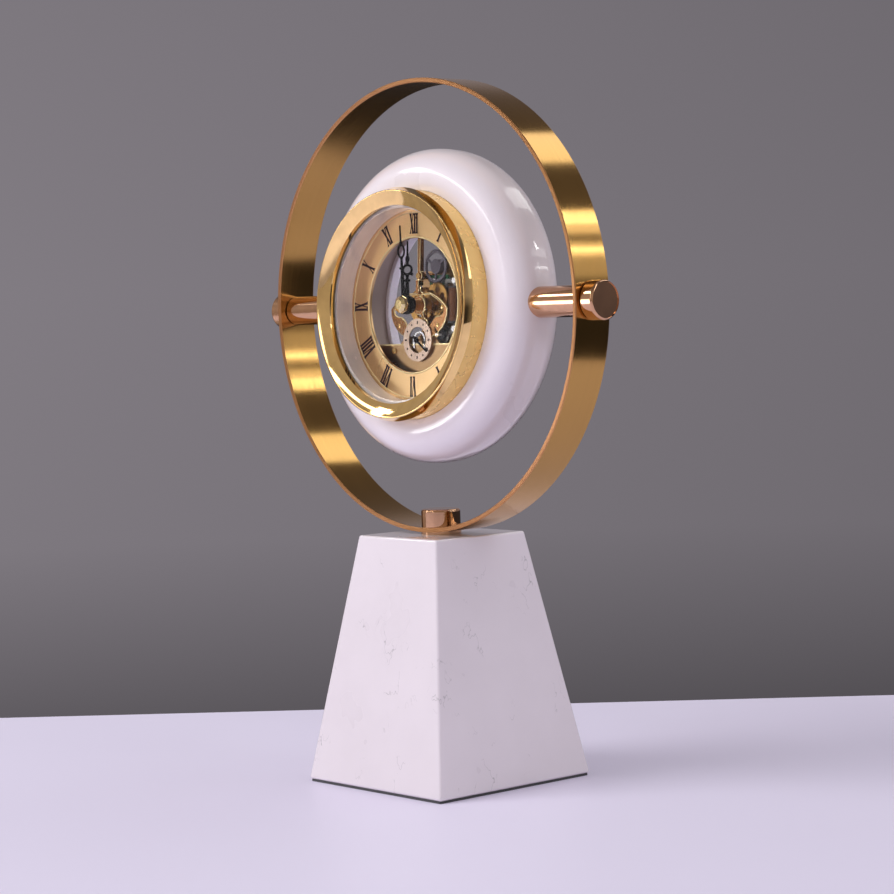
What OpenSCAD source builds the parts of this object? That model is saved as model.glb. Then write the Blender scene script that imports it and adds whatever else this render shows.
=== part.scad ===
// Table clock: a ring on a tapered block carries a round, tilting clock head with an open dial.
// The origin is the middle of the underside of the base. The dial faces -Y, up is +Z.
// Parts of the clock head are drawn flat, seen from the front, and set at their depth along Y.

/* [Base] */
// Width of the base at its foot
base_w = 88.8; // [76:0.2:120]
// Width of the base at its top
base_top_w = 52.8; // [40:0.2:64]
// Height of the base block without its pad
base_h = 109; // [80:0.5:160]
// Rounding of the base block's edges
base_edge_r = 1.2; // [0.6:0.1:3]
// Thickness of the felt pad
pad_t = 1; // [0.6:0.1:3]
// How far the pad stays inside the foot
pad_inset = 0.6; // [0.2:0.1:5]

/* [Ring] */
// Outer radius of the ring
ring_r = 100; // [92:1:130]
// Thickness of the ring's strip
ring_t = 2; // [1.5:0.1:3]
// Width of the ring's strip, front to back
ring_w = 20; // [19:0.5:26]
// Chamfer on the ring's edges
ring_edge = 0.35; // [0.1:0.05:0.6]

/* [Ring fastening] */
// Diameter of the threaded stud through the base
stud_d = 6; // [4:0.5:8]
// Clearance round the stud
stud_fit = 0.1; // [0.05:0.05:0.4]
// Length of the stud inside the cap nut
stud_grip = 5.5; // [4:0.5:6]
// Diameter of the cap nut inside the ring
cap_d = 17.4; // [14:0.2:20]
// Height of the cap nut
cap_h = 8; // [7:0.5:12]
// Rounding of the cap nut's rim
cap_edge_r = 1.2; // [0.4:0.1:2]
// Diameter of the saddle washer under the ring
saddle_d = 18; // [16:0.5:19]
// Height of the saddle washer at its middle
saddle_t = 1; // [0.8:0.1:2]
// Diameter of the counterbore under the base
counterbore_d = 20; // [18:0.5:26]
// Depth of the counterbore
counterbore_h = 14; // [12:0.5:24]
// Diameter of the washer under the base nut
washer_d = 17; // [13:0.5:17]
// Thickness of that washer
washer_t = 1.6; // [1:0.1:2.5]
// Width across corners of the base nut
nut_d = 11; // [10.5:0.5:13]
// Thickness of the base nut
nut_t = 5; // [4:0.5:6]

/* [Head shell] */
// Radius of the shell's own round section
head_tube_r = 14.5; // [13.5:0.5:16]
// How much deeper the shell is behind its middle
shell_stretch = 3; // [0:0.5:6]
// How far the case tube reaches into the shell's round section
case_bite = 4.9; // [4:0.1:6]

/* [Pivots] */
// Lean of the head towards the back, in degrees
head_lean = 3; // [0:0.5:8]
// Diameter of the side rods
rod_d = 13.4; // [10:0.2:15]
// Depth of a rod's socket in the shell
rod_socket = 3; // [2:0.5:4]
// Diameter of the knobs
knob_d = 16.8; // [15:0.2:22]
// Length of a knob
knob_len = 7.4; // [6:0.1:14]
// Rounding of a knob's outer rim
knob_edge_r = 1.3; // [0.5:0.1:2.5]
// Width of the raised rim round a knob's face
knob_rim_w = 0.8; // [0.5:0.1:1.5]
// Depth of a knob's face below its rim
knob_dish = 0.5; // [0.3:0.1:1]
// Chamfer at a knob's inner end
knob_chamfer = 0.6; // [0.2:0.1:1]
// Diameter of the pivot screws
screw_d = 5.9; // [4:0.1:7]
// Radial clearance round the pivot screws
pivot_fit = 0.05; // [0.02:0.01:0.1]
// Gap between the turning parts and the ring
side_gap = 0.3; // [0.2:0.05:0.6]
// Diameter of the threaded inserts in the shell
insert_d = 9; // [8.5:0.5:11]
// Length of the threaded inserts
insert_len = 12; // [8:0.5:14]

/* [Clock case] */
// Radius of the seat for the dial and its wall ring
seat_r = 44; // [43:0.1:52]
// How far the satin band reaches beyond the seat
band_reach = 6.4; // [5.6:0.1:7.4]
// Length of the satin band, front to back
band_h = 9.7; // [8:0.1:12]
// How deep the band is let into the shell
band_sink = 0.8; // [0.4:0.1:1.2]
// Wall of the case tube behind the band
tube_wall = 3; // [2.4:0.1:3.4]
// Width of the ledge that the dial rests on
ledge_w = 1.4; // [1:0.1:2]
// Whole length of the case, front to back
case_len = 30.5; // [29:0.5:34]
// Chamfer that leaves a groove between band and bezel
groove = 0.45; // [0.2:0.05:0.8]
// How far the bezel reaches beyond the satin band
bezel_reach = 0.8; // [0.4:0.1:1.6]
// Width of the bezel's outer flank, from its back edge in to its crest
bezel_flank_w = 1.2; // [0.8:0.1:2]
// How far the bezel's inner edge stays inside the seat
bezel_lip_w = 0.6; // [0.2:0.1:1]
// Height of the bezel's crest
bezel_h = 4.3; // [3:0.1:6]
// Height of the bezel at its inner edge
bezel_lip_h = 1.8; // [1:0.1:2.6]
// Rounding of the bezel's crest
crest_r = 0.6; // [0.3:0.1:0.9]
// How far the bezel's rear spigot stays inside the band's face
spigot_inset = 2; // [1.4:0.1:2.6]
// Thickness of the spigot
spigot_t = 1.2; // [0.8:0.1:1.6]
// Length of the spigot
spigot_h = 2; // [1:0.1:3]
// Thickness of the glass
lens_t = 1.4; // [1:0.1:2]
// Thickness of the gasket round the glass
gasket_t = 0.5; // [0.3:0.1:0.8]
// Clearance of pieces that push into the case
case_fit = 0.1; // [0.05:0.05:0.2]
// Depth of the wall ring between glass and dial
wall_h = 9.1; // [8.8:0.1:11]
// Thickness of the wall ring
wall_t = 1.7; // [1.2:0.1:2.2]

/* [Rear ring] */
// How far the rear ring reaches inside the case tube
rear_reach_in = 2.1; // [1.2:0.1:3]
// How far the rear ring's flange reaches beyond the case tube
rear_reach_out = 2.6; // [2.2:0.1:3.4]
// Thickness of the rear ring
rear_t = 4.4; // [4:0.1:5]
// Thickness of the rear ring's flange
rear_flange_t = 1.4; // [1:0.1:1.8]
// Diameter of the four rear screws
rear_screw_d = 1.6; // [1.2:0.1:2]
// Diameter of their heads
rear_screw_head_d = 2.8; // [2.4:0.1:3]
// Height of their heads
rear_screw_head_h = 0.8; // [0.5:0.1:1.2]
// Length of the rear screws below the head
rear_screw_len = 9; // [7:0.5:12]

/* [Dial] */
// Radius of the opening in the dial
dial_open_r = 29.5; // [29:0.1:30.5]
// Thickness of the dial ring
dial_t = 0.8; // [0.6:0.1:1.2]
// Height of the raised rims on the dial
rim_h = 0.5; // [0.2:0.1:0.8]
// Width of the raised rims
rim_w = 0.8; // [0.5:0.1:1.2]
// Distance from the dial's middle down to the small dial's middle
small_drop = 15.3; // [14.8:0.1:15.8]
// Outer radius of the small dial
small_r = 9.4; // [8.8:0.1:9.8]
// Inner radius of the small dial
small_open_r = 5.8; // [5.4:0.1:6.2]
// Thickness of the small dial
small_t = 0.6; // [0.4:0.1:0.8]
// Gap from the back of the dial ring to the front of the small dial
small_gap = 1.6; // [1.4:0.1:2.4]

/* [Plates] */
// Thickness of the front bridge
bridge_t = 1; // [0.8:0.1:1.4]
// Half width of the bridge at its tips
bridge_half_w = 19; // [18:0.5:20]
// Height of the bridge's shoulders above the dial's middle
bridge_top = 5.4; // [5.2:0.1:6]
// Width of the band along the bridge's upper edge
bridge_band_w = 0.9; // [0.7:0.1:1]
// Radius of the round hub in the bridge
bridge_hub_r = 4.2; // [3.8:0.1:4.8]
// Width of the bridge's arms
arm_w = 1.6; // [1.2:0.1:2]
// Radius of the round bearing bosses
boss_r = 1.9; // [1.6:0.1:2.2]
// Distance from the dial's middle down to the straight edge of the lower plate
lower_edge = 17; // [16.8:0.1:17.4]
// Gap between the lower plate and the case tube
lower_gap = 1.6; // [1:0.1:3]
// Thickness of the lower plate
lower_t = 1.2; // [1:0.1:1.6]
// Width of the upright strut
strut_w = 1.8; // [1.4:0.1:2.4]
// Depth of the upright strut
strut_t = 2.2; // [1.8:0.1:2.6]
// How far the strut reaches beyond its top foot
strut_end = 2.4; // [1.8:0.1:3]
// Height of the pillar screw on the strut
strut_screw_h = 13; // [12.6:0.2:14]
// Radius of the strut's round pad at that screw
strut_pad_r = 2; // [1.8:0.1:2.4]
// Thickness of the rear plate
rear_plate_t = 1.2; // [1:0.1:2]
// Radius of the pillars
pillar_r = 1.5; // [1.2:0.1:1.7]
// Radius of the plate screws' heads
head_screw_r = 1.3; // [1:0.1:1.5]
// Height of the plate screws' heads
head_screw_h = 0.6; // [0.4:0.1:0.8]
// Radius of the plate screws' shanks
shank_r = 0.6; // [0.4:0.1:0.8]

/* [Hands] */
// Reach of the minute hand
minute_len = 35; // [32:0.5:38]
// Reach of the hour hand
hour_len = 28; // [26:0.5:30]
// Reach of the seconds hand
seconds_len = 8.6; // [7:0.2:9]
// Thickness of the hands
hand_t = 0.5; // [0.3:0.05:0.7]
// Gap between the dial and the hour hand
hour_lift = 3.4; // [3:0.1:4]
// Gap between the hour hand and the minute hand
hand_gap = 1.4; // [1.2:0.1:1.8]
// Radius of the hub nut
nut_r = 4; // [3.4:0.1:4.6]
// Thickness of the hub nut
nut_h = 2.9; // [2:0.1:3]
// Radius of the hands' round bosses
hand_boss_r = 4.2; // [3.6:0.1:4.6]
// Direction of the minute hand, in degrees clockwise from twelve
minute_at = 355; // [0:1:359]
// Direction of the seconds hand, in degrees clockwise from twelve
seconds_at = 127; // [0:1:359]

/* [Gears] */
// Size of the motion work's teeth, as pitch diameter for each tooth
motion_mod = 0.32; // [0.31:0.005:0.33]
// Size of the train's teeth, as pitch diameter for each tooth
train_mod = 0.25; // [0.245:0.005:0.255]
// Thickness of a wheel
wheel_t = 0.6; // [0.4:0.05:0.7]
// Length of a pinion
pinion_t = 1; // [0.9:0.05:1.1]
// Clearance between layers of the movement
layer_gap = 0.3; // [0.2:0.05:0.35]
// Radius of the thin arbors
arbor_r = 0.5; // [0.4:0.05:0.6]
// Radial clearance of arbors and pipes in their bearings
bearing_fit = 0.05; // [0.02:0.01:0.08]
// Radius of the centre arbor
centre_arbor_r = 0.75; // [0.6:0.05:0.85]
// Radius of the minute pipe
minute_pipe_r = 1.5; // [1.3:0.05:1.6]
// Radius of the hour pipe
hour_pipe_r = 2.4; // [2.2:0.05:2.6]
// Direction from the centre to the motion wheel, in degrees from +X
motion_dir = 15.8; // [10:0.2:20]
// Direction from the motion wheel to the setting wheel
setting_dir = 93.3; // [90:0.1:96]
// Direction from the seconds arbor to the intermediate arbor
inter_dir = -10; // [-16:1:-8]
// Direction from the intermediate arbor to the rotor
rotor_dir = 36; // [30:1:42]
// Radius of the rotor's magnet
magnet_r = 2.2; // [1.8:0.1:2.3]
// Length of the rotor's magnet
magnet_t = 1.6; // [1.2:0.1:1.8]
// Radius of the set knob
set_knob_r = 5; // [4:0.2:6]
// Length of the set knob
set_knob_t = 5; // [3:0.5:6]
// Gap between the rear plate and the set knob
set_knob_gap = 1.5; // [0.5:0.1:2.5]

/* [Motor and battery] */
// Distance of the coil to the right of the dial's middle
coil_x = 19.5; // [19:0.1:20]
// Half length of the coil's core between its screws
core_half = 10.5; // [10:0.1:11]
// Radius of the coil's winding
winding_r = 2.9; // [2.5:0.1:3]
// Radius of the bobbin's flanges
bobbin_r = 3.1; // [3:0.05:3.2]
// Radius of the bobbin's tube
bobbin_tube_r = 1.6; // [1.5:0.1:1.8]
// Thickness of the bobbin's flanges
bobbin_flange_t = 0.8; // [0.5:0.1:1]
// Half length of the bobbin
bobbin_half = 8; // [7:0.1:8.4]
// Width of the stator strip
stator_w = 1.8; // [1.4:0.1:2]
// Thickness of the stator
stator_t = 0.8; // [0.6:0.1:0.9]
// Gap between the magnet and the stator
air_gap = 0.4; // [0.3:0.05:0.5]
// Width of the circuit board
board_w = 12; // [11:0.5:12.5]
// Height of the circuit board
board_h = 4.2; // [3.8:0.1:4.6]
// Thickness of the circuit board
board_t = 0.8; // [0.6:0.1:1]
// Radius of the battery
battery_r = 6; // [5:0.1:6.2]
// Length of the battery
battery_len = 30.2; // [26:0.1:32]
// Gap between the battery tray and the gears above it
tray_gap = 0.8; // [0.4:0.1:1]
// Wall of the battery tray
tray_wall = 1.1; // [0.9:0.1:1.2]
// Clearance round the battery
battery_fit = 0.1; // [0.1:0.05:0.2]
// Thickness of the battery's contacts
contact_t = 0.4; // [0.3:0.1:0.6]

/* [Hidden] */
$fn = 48;

// One overrun for every cut
over = 1;
tiny_over = 0.2;

// Heights of the base and the ring
block_top = pad_t + base_h;
ring_bottom = block_top + saddle_t;
ring_z = ring_bottom + ring_r;
ring_inner_r = ring_r - ring_t;
counterbore_top = pad_t + counterbore_h;

// Teeth
cannon_teeth = 15;
motion_teeth = 45;
motion_pinion_teeth = 12;
hour_teeth = 48;
setting_teeth = 45;
small_teeth = 8;
centre_teeth = 64;
third_teeth = 60;
seconds_teeth = 48;
inter_teeth = 40;
tooth_tip_share = 0.85;
tooth_root_share = 1.15;
tip_half_share = 0.09;
root_half_share = 0.26;

// Places of the arbors, seen from the front, from the dial's middle
function polar(r, a) = [r * cos(a), r * sin(a)];
function centres(mod, n1, n2) = mod * (n1 + n2) / 2;
function heading(p, q) = atan2(q[1] - p[1], q[0] - p[0]);
centre_at = [0, 0];
seconds_at_place = [0, -small_drop];
motion_at = polar(centres(motion_mod, cannon_teeth, motion_teeth), motion_dir);
setting_at = motion_at + polar(centres(motion_mod, motion_teeth, setting_teeth), setting_dir);
third_far = centres(train_mod, small_teeth, centre_teeth);
third_near = centres(train_mod, small_teeth, third_teeth);
third_v = -(pow(third_far, 2) - pow(third_near, 2) + pow(small_drop, 2)) / (2 * small_drop);
third_at = [sqrt(pow(third_far, 2) - pow(third_v, 2)), third_v];
inter_at = seconds_at_place + polar(centres(train_mod, small_teeth, seconds_teeth), inter_dir);
rotor_at = inter_at + polar(centres(train_mod, small_teeth, inter_teeth), rotor_dir);

// The battery tray, seen from the front
tray_inner_half = battery_len / 2 + battery_fit + contact_t;
tray_half = tray_inner_half + tray_wall;
tray_inner_r = battery_r + battery_fit;
inter_reach = train_mod * (inter_teeth / 2 + tooth_tip_share) - inter_at[1];
seconds_reach = train_mod * (seconds_teeth / 2 + tooth_tip_share) + small_drop;
battery_drop = max(inter_reach, seconds_reach) + tray_gap + tray_wall + tray_inner_r;

// Radii of the case, all from the seat. The battery tray sets the least of them
tray_reach = norm([tray_half, battery_drop + tray_inner_r + tray_wall]);
tube_inner_r = max(seat_r - ledge_w, tray_reach + lower_gap / 2);
seat = tube_inner_r + ledge_w;
tube_outer_r = tube_inner_r + tube_wall;
flange_r = seat + band_reach;
bezel_r = flange_r + bezel_reach;
bezel_crest_r = bezel_r - bezel_flank_w;
bezel_lip_r = seat - bezel_lip_w;
spigot_r = flange_r - spigot_inset;
wall_inner_r = seat - case_fit - wall_t;
rear_inner_r = tube_inner_r - rear_reach_in;
rear_flange_r = tube_outer_r + rear_reach_out;
lower_r = tube_inner_r - lower_gap;

// The shell's section, and the seats cut into it
head_r = tube_outer_r + 2 * head_tube_r - case_bite;
shell_mid_r = head_r - head_tube_r;
function shell_depth(r) = sqrt(pow(head_tube_r, 2) - pow(shell_mid_r - r, 2));
band_floor = -shell_depth(flange_r) + band_sink;
lens_r = seat + lens_t;
gasket_r = lens_r + gasket_t + case_fit;
screw_circle_r = (tube_inner_r + tube_outer_r) / 2;

// Depths along Y, from the front of the case to its back
case_front = band_floor - band_h;
case_back = case_front + case_len;
lens_back = case_front + lens_t;
dial_front = lens_back + wall_h;
dial_back = dial_front + dial_t;
small_front = dial_back + small_gap;
bridge_front = small_front + small_t;
lower_front = bridge_front + bridge_t;
lower_back = lower_front + lower_t;
strut_front = bridge_front;
strut_back = strut_front + strut_t;
battery_mid = lower_back + tray_wall + battery_fit + battery_r;
rear_ring_back = case_back + rear_t;
rear_seat = rear_ring_back - rear_flange_t;

// Layers of the movement, front to back
hour_wheel_front = lower_front + layer_gap;
hour_wheel_back = hour_wheel_front + wheel_t;
cannon_front = hour_wheel_back + layer_gap;
cannon_back = cannon_front + pinion_t;
motion_front = cannon_front + (pinion_t - wheel_t) / 2;
motion_back = motion_front + wheel_t;
clutch_t = layer_gap;
centre_front = cannon_back + clutch_t;
third_pinion_front = centre_front - (pinion_t - wheel_t) / 2;
stator_front = centre_front + layer_gap;
stator_back = stator_front + stator_t;
third_front = stator_back + layer_gap;
seconds_pinion_front = third_front - (pinion_t - wheel_t) / 2;
seconds_pinion_back = seconds_pinion_front + pinion_t;
seconds_front = seconds_pinion_back + layer_gap;
inter_pinion_front = seconds_front - (pinion_t - wheel_t) / 2;
inter_pinion_back = inter_pinion_front + pinion_t;
inter_front = inter_pinion_back + layer_gap;
rotor_pinion_front = inter_front - (pinion_t - wheel_t) / 2;
rotor_pinion_back = rotor_pinion_front + pinion_t;
rear_plate_front = rotor_pinion_back + layer_gap;
rear_plate_back = rear_plate_front + rear_plate_t;
magnet_back = stator_back;
magnet_front = magnet_back - magnet_t;
board_front = third_front;
board_back = board_front + board_t;

// Turns of the teeth at rest: a driver has a tooth on the line of centres, its mate a gap
cannon_turn = heading(centre_at, motion_at);
motion_turn = cannon_turn + 180 + 180 / motion_teeth;
motion_pinion_turn = heading(motion_at, centre_at);
hour_turn = motion_pinion_turn + 180 + 180 / hour_teeth;
motion_pitch_deg = 360 / motion_teeth;
setting_lag = (setting_dir - motion_turn)
    - floor((setting_dir - motion_turn) / motion_pitch_deg) * motion_pitch_deg;
setting_turn = setting_dir + 180 + setting_lag * motion_teeth / setting_teeth + 180 / setting_teeth;
third_pinion_turn = heading(third_at, centre_at);
centre_turn = third_pinion_turn + 180 + 180 / centre_teeth;
seconds_pinion_turn = heading(seconds_at_place, third_at);
third_turn = seconds_pinion_turn + 180 + 180 / third_teeth;
inter_pinion_turn = heading(inter_at, seconds_at_place);
seconds_turn = inter_pinion_turn + 180 + 180 / seconds_teeth;
rotor_turn = heading(rotor_at, inter_at);
inter_turn = rotor_turn + 180 + 180 / inter_teeth;

// Hands
hour_back = dial_front - hour_lift;
hour_front = hour_back - hand_t;
minute_back = hour_front - hand_gap;
minute_front = minute_back - hand_t;
nut_front = minute_front - nut_h;
minute_collar_t = hand_gap / 2;
minute_bore_end = dial_front;
centre_arbor_end = minute_bore_end + tiny_over;
seconds_hand_back = small_front - small_gap / 4;
seconds_hand_front = seconds_hand_back - hand_t;
hour_collar_r = 3.8;
minute_collar_r = 3.2;
seconds_boss_r = 1.3;

// Places of pillars, feet and screws, seen from the front
pillar_drop = 3;
pillar_left = [-17, -lower_edge - pillar_drop];
pillar_right = [20, -lower_edge - pillar_drop];
pillar_top = [0, strut_screw_h];
foot_r = 1.8;
foot_dir = -48;
foot_share = 0.56;
foot_at = polar(dial_open_r + (lower_r - dial_open_r) * foot_share, foot_dir);
top_foot_share = 0.36;
top_foot_v = dial_open_r + (lower_r - dial_open_r) * top_foot_share;
strut_top = top_foot_v + strut_end;
feet = [foot_at, [-foot_at[0], foot_at[1]], [0, top_foot_v]];
core_top = [coil_x, core_half];
core_bottom = [coil_x, -core_half];
plate_margin = 2.4;
plate_left = -7;
plate_right = coil_x + bobbin_r;
plate_top = pillar_top[1] + plate_margin;
plate_bottom = pillar_left[1] - plate_margin;
plate_corner = 2;
strip_left = pillar_left[0] - plate_margin;
setting_boss_r = 3;
strut_foot_top = motion_mod * (hour_teeth / 2 + tooth_tip_share) + 2 * layer_gap;
lap_t = 1;
lap_w = strut_w;
lap_gap = 0.4;
lap_bottom = bridge_hub_r + lap_gap;
lap_top = pillar_top[1] - head_screw_r - lap_gap;

// A flat shape seen from the front, drawn between two depths
module between(front, back) {
    translate([0, back, ring_z])
        rotate([90, 0, 0])
            linear_extrude(back - front) children();
}

// The head's lean about the line through its pivots
module hang() {
    translate([0, 0, ring_z])
        rotate([-head_lean, 0, 0])
            translate([0, 0, -ring_z]) children();
}

// A disc about a place on the dial
module disc_at(place, front, back, r) {
    between(front, back) translate(place) circle(r);
}

// A profile of radius and depth, turned round the dial's axis: x is the radius, y is the depth
module round_the_dial() {
    translate([0, 0, ring_z])
        rotate([-90, 0, 0])
            rotate_extrude() children();
}

// A bar with round ends between two places
module bar(from, to, w) {
    translate(from) circle(w / 2);
    translate(to) circle(w / 2);
    translate(from)
        rotate(heading(from, to))
            translate([0, -w / 2]) square([norm(to - from), w]);
}

// Points of a bent line from a up to c, pulled towards b; c itself is left to the next piece
curve_steps = 6;
function curve(a, b, c) = [for (i = [0:curve_steps - 1]) let (t = i / curve_steps)
    pow(1 - t, 2) * a + 2 * t * (1 - t) * b + pow(t, 2) * c];

// Points of an oval round a place
function oval(place, w, h, n) = [for (i = [0:n - 1])
    place + [w * cos(i * 360 / n), h * sin(i * 360 / n)]];

// A rectangle with round corners
module round_box(left, bottom, right, top, r) {
    translate([left + r, bottom]) square([right - left - 2 * r, top - bottom]);
    translate([left, bottom + r]) square([right - left, top - bottom - 2 * r]);
    for (x = [left + r, right - r], y = [bottom + r, top - r])
        translate([x, y]) circle(r);
}

// Teeth of a wheel or pinion, one tooth pointing along the turn
function tooth_ring(n, mod, turn) = [for (i = [0:n - 1], k = [0:3])
    let (pitch = 360 / n,
         r = mod * (n / 2 + ((k == 1 || k == 2) ? tooth_tip_share : -tooth_root_share)),
         half = (k == 1 || k == 2) ? tip_half_share : root_half_share)
    polar(r, turn + i * pitch + (k < 2 ? -1 : 1) * half * pitch)];
module teeth(n, mod, turn) {
    polygon(tooth_ring(n, mod, turn));
}

// A thin wheel with round lightening holes
module wheel(place, n, mod, turn, front, bore, holes) {
    pitch_r = mod * n / 2;
    hole_mid_share = 0.56;
    hole_share = 0.2;
    between(front, front + wheel_t)
        translate(place)
            difference() {
                teeth(n, mod, turn);
                circle(bore);
                for (i = [0:1:holes - 1])
                    rotate(turn + i * 360 / holes)
                        translate([pitch_r * hole_mid_share, 0]) circle(pitch_r * hole_share);
            }
}

// A small pinion
module pinion(place, n, mod, turn, front) {
    between(front, front + pinion_t) translate(place) teeth(n, mod, turn);
}

// The base block: a tapered block with rounded edges, bored for the stud
module base_block() {
    foot = base_w / 2 - base_edge_r;
    crown = base_top_w / 2 - base_edge_r;
    color("white")
        difference() {
            hull()
                for (x = [-1, 1], y = [-1, 1]) {
                    translate([x * foot, y * foot, pad_t + base_edge_r])
                        sphere(base_edge_r, $fn = 24);
                    translate([x * crown, y * crown, block_top - base_edge_r])
                        sphere(base_edge_r, $fn = 24);
                }
            translate([0, 0, pad_t - over])
                cylinder(h = base_h + 2 * over, d = stud_d + 2 * stud_fit);
            translate([0, 0, pad_t - over])
                cylinder(h = counterbore_h + over, d = counterbore_d);
        }
}

module base_pad() {
    half = base_w / 2 - pad_inset;
    color("dimgray")
        linear_extrude(pad_t)
            round_box(-half, -half, half, half, pad_inset);
}

// The stud: runs from the counterbore through the block and the ring into the cap nut
module ring_stud() {
    bottom = counterbore_top - washer_t - nut_t - over;
    color("silver")
        translate([0, 0, bottom])
            cylinder(h = ring_bottom + ring_t + stud_grip - bottom, d = stud_d);
}

module base_washer() {
    color("silver")
        translate([0, 0, counterbore_top - washer_t])
            difference() {
                cylinder(h = washer_t, d = washer_d);
                translate([0, 0, -over])
                    cylinder(h = washer_t + 2 * over, d = stud_d + 2 * stud_fit);
            }
}

module base_nut() {
    color("silver")
        translate([0, 0, counterbore_top - washer_t - nut_t])
            difference() {
                cylinder(h = nut_t, d = nut_d, $fn = 6);
                translate([0, 0, -over]) cylinder(h = nut_t + 2 * over, d = stud_d);
            }
}

// A long cylinder on the ring's axis, finely rounded
module ring_core(r) {
    translate([0, ring_w, ring_z])
        rotate([90, 0, 0]) cylinder(h = 2 * ring_w, r = r, $fn = 360);
}

// A washer whose top is hollowed to the ring's curve
module saddle_washer() {
    color("peru")
        difference() {
            translate([0, 0, block_top]) cylinder(h = 2 * saddle_t, d = saddle_d);
            ring_core(ring_r);
            translate([0, 0, block_top - over])
                cylinder(h = 2 * saddle_t + 2 * over, d = stud_d + 2 * stud_fit);
        }
}

// The ring: a strip bent round, with holes for the stud and the two pivot screws
module ring_band() {
    half = ring_w / 2;
    color("goldenrod")
        difference() {
            round_the_dial()
                polygon([
                    [ring_inner_r, -half + ring_edge], [ring_inner_r + ring_edge, -half],
                    [ring_r - ring_edge, -half], [ring_r, -half + ring_edge],
                    [ring_r, half - ring_edge], [ring_r - ring_edge, half],
                    [ring_inner_r + ring_edge, half], [ring_inner_r, half - ring_edge]]);
            translate([0, 0, ring_bottom - over])
                cylinder(h = ring_t + 3 * over, d = stud_d + 2 * stud_fit);
            translate([-ring_r - over, 0, ring_z])
                rotate([0, 90, 0])
                    cylinder(h = 2 * (ring_r + over), d = screw_d + 2 * pivot_fit);
        }
}

// A turned blank with one rounded rim, standing on its flat end
module rounded_blank(r, h, edge) {
    rotate_extrude() {
        square([r - edge, h]);
        square([r, h - edge]);
        translate([r - edge, h - edge]) circle(edge);
    }
}

// The cap nut inside the ring: its foot is rounded to the ring's inner curve
module ring_cap_nut() {
    foot = ring_bottom + ring_t;
    color("peru")
        difference() {
            intersection() {
                translate([0, 0, foot]) rounded_blank(cap_d / 2, cap_h, cap_edge_r);
                ring_core(ring_inner_r);
            }
            translate([0, 0, foot - over]) cylinder(h = stud_grip + over, d = stud_d);
        }
}

// The shell: a thick round ring, bored for the clock and seated front and back
module head_shell() {
    color("ghostwhite") hang()
        difference() {
            round_the_dial() {
                translate([shell_mid_r, 0]) circle(head_tube_r);
                translate([shell_mid_r, shell_stretch]) circle(head_tube_r);
                translate([shell_mid_r - head_tube_r, 0])
                    square([2 * head_tube_r, shell_stretch]);
            }
            round_the_dial() {
                translate([0, -2 * head_tube_r])
                    square([tube_outer_r + case_fit, 4 * head_tube_r]);
                translate([0, band_floor - head_tube_r])
                    square([flange_r + case_fit, head_tube_r]);
                translate([0, rear_seat]) square([rear_flange_r + case_fit, head_tube_r]);
            }
            for (side = [-1, 1])
                translate([0, 0, ring_z])
                    rotate([0, side * 90, 0]) {
                        translate([0, 0, head_r - rod_socket])
                            cylinder(h = rod_socket + over, d = rod_d + 2 * case_fit);
                        translate([0, 0, head_r - rod_socket - insert_len])
                            cylinder(h = insert_len + over, d = insert_d);
                    }
        }
}

module along_x(side, from, to, d, bore) {
    translate([side * from, 0, ring_z])
        rotate([0, side * 90, 0])
            difference() {
                cylinder(h = to - from, d = d);
                translate([0, 0, -over]) cylinder(h = to - from + 2 * over, d = bore);
            }
}

module side_inserts() {
    seat = head_r - rod_socket;
    color("darkgoldenrod")
        for (side = [-1, 1])
            along_x(side, seat - insert_len, seat, insert_d, screw_d + 2 * pivot_fit);
}

module side_rod(side) {
    color("peru")
        along_x(side, head_r - rod_socket, ring_inner_r - 2 * side_gap, rod_d,
            screw_d + 2 * pivot_fit);
}
module rod_right() { side_rod(1); }
module rod_left() { side_rod(-1); }

// A knob with its pivot screw, which runs through ring and rod into the insert
module side_knob(side) {
    start = ring_r + side_gap;
    tip = head_r - rod_socket - insert_len + over;
    color("peru")
        translate([0, 0, ring_z])
            rotate([0, side * 90, 0]) {
                translate([0, 0, start])
                    difference() {
                        rotate_extrude() {
                            square([knob_d / 2 - knob_edge_r, knob_len]);
                            polygon([
                                [0, 0], [knob_d / 2 - knob_chamfer, 0],
                                [knob_d / 2, knob_chamfer],
                                [knob_d / 2, knob_len - knob_edge_r],
                                [0, knob_len - knob_edge_r]]);
                            translate([knob_d / 2 - knob_edge_r, knob_len - knob_edge_r])
                                circle(knob_edge_r);
                        }
                        translate([0, 0, knob_len - knob_dish])
                            cylinder(h = knob_dish + over, r = knob_d / 2 - knob_rim_w);
                    }
                translate([0, 0, tip]) cylinder(h = start - tip, d = screw_d);
            }
}
module knob_right() { side_knob(1); }
module knob_left() { side_knob(-1); }

// The case: the satin band in front and the tube that fills the shell's bore
module case_band() {
    color("burlywood") hang()
        difference() {
            round_the_dial()
                polygon([
                    [tube_inner_r, case_back], [tube_outer_r, case_back],
                    [tube_outer_r, band_floor], [flange_r, band_floor],
                    [flange_r, case_front + groove], [flange_r - groove, case_front],
                    [gasket_r, case_front], [gasket_r, lens_back],
                    [seat, lens_back], [seat, dial_back], [tube_inner_r, dial_back]]);
            round_the_dial()
                translate([spigot_r - spigot_t / 2 - case_fit, case_front - over])
                    square([spigot_t + 2 * case_fit, over + spigot_h + case_fit]);
            for (a = [45:90:315])
                translate([0, 0, ring_z])
                    rotate([0, a, 0])
                        translate([screw_circle_r, case_back + over, 0])
                            rotate([90, 0, 0])
                                cylinder(h = rear_screw_len + over, d = rear_screw_d);
        }
}

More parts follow.
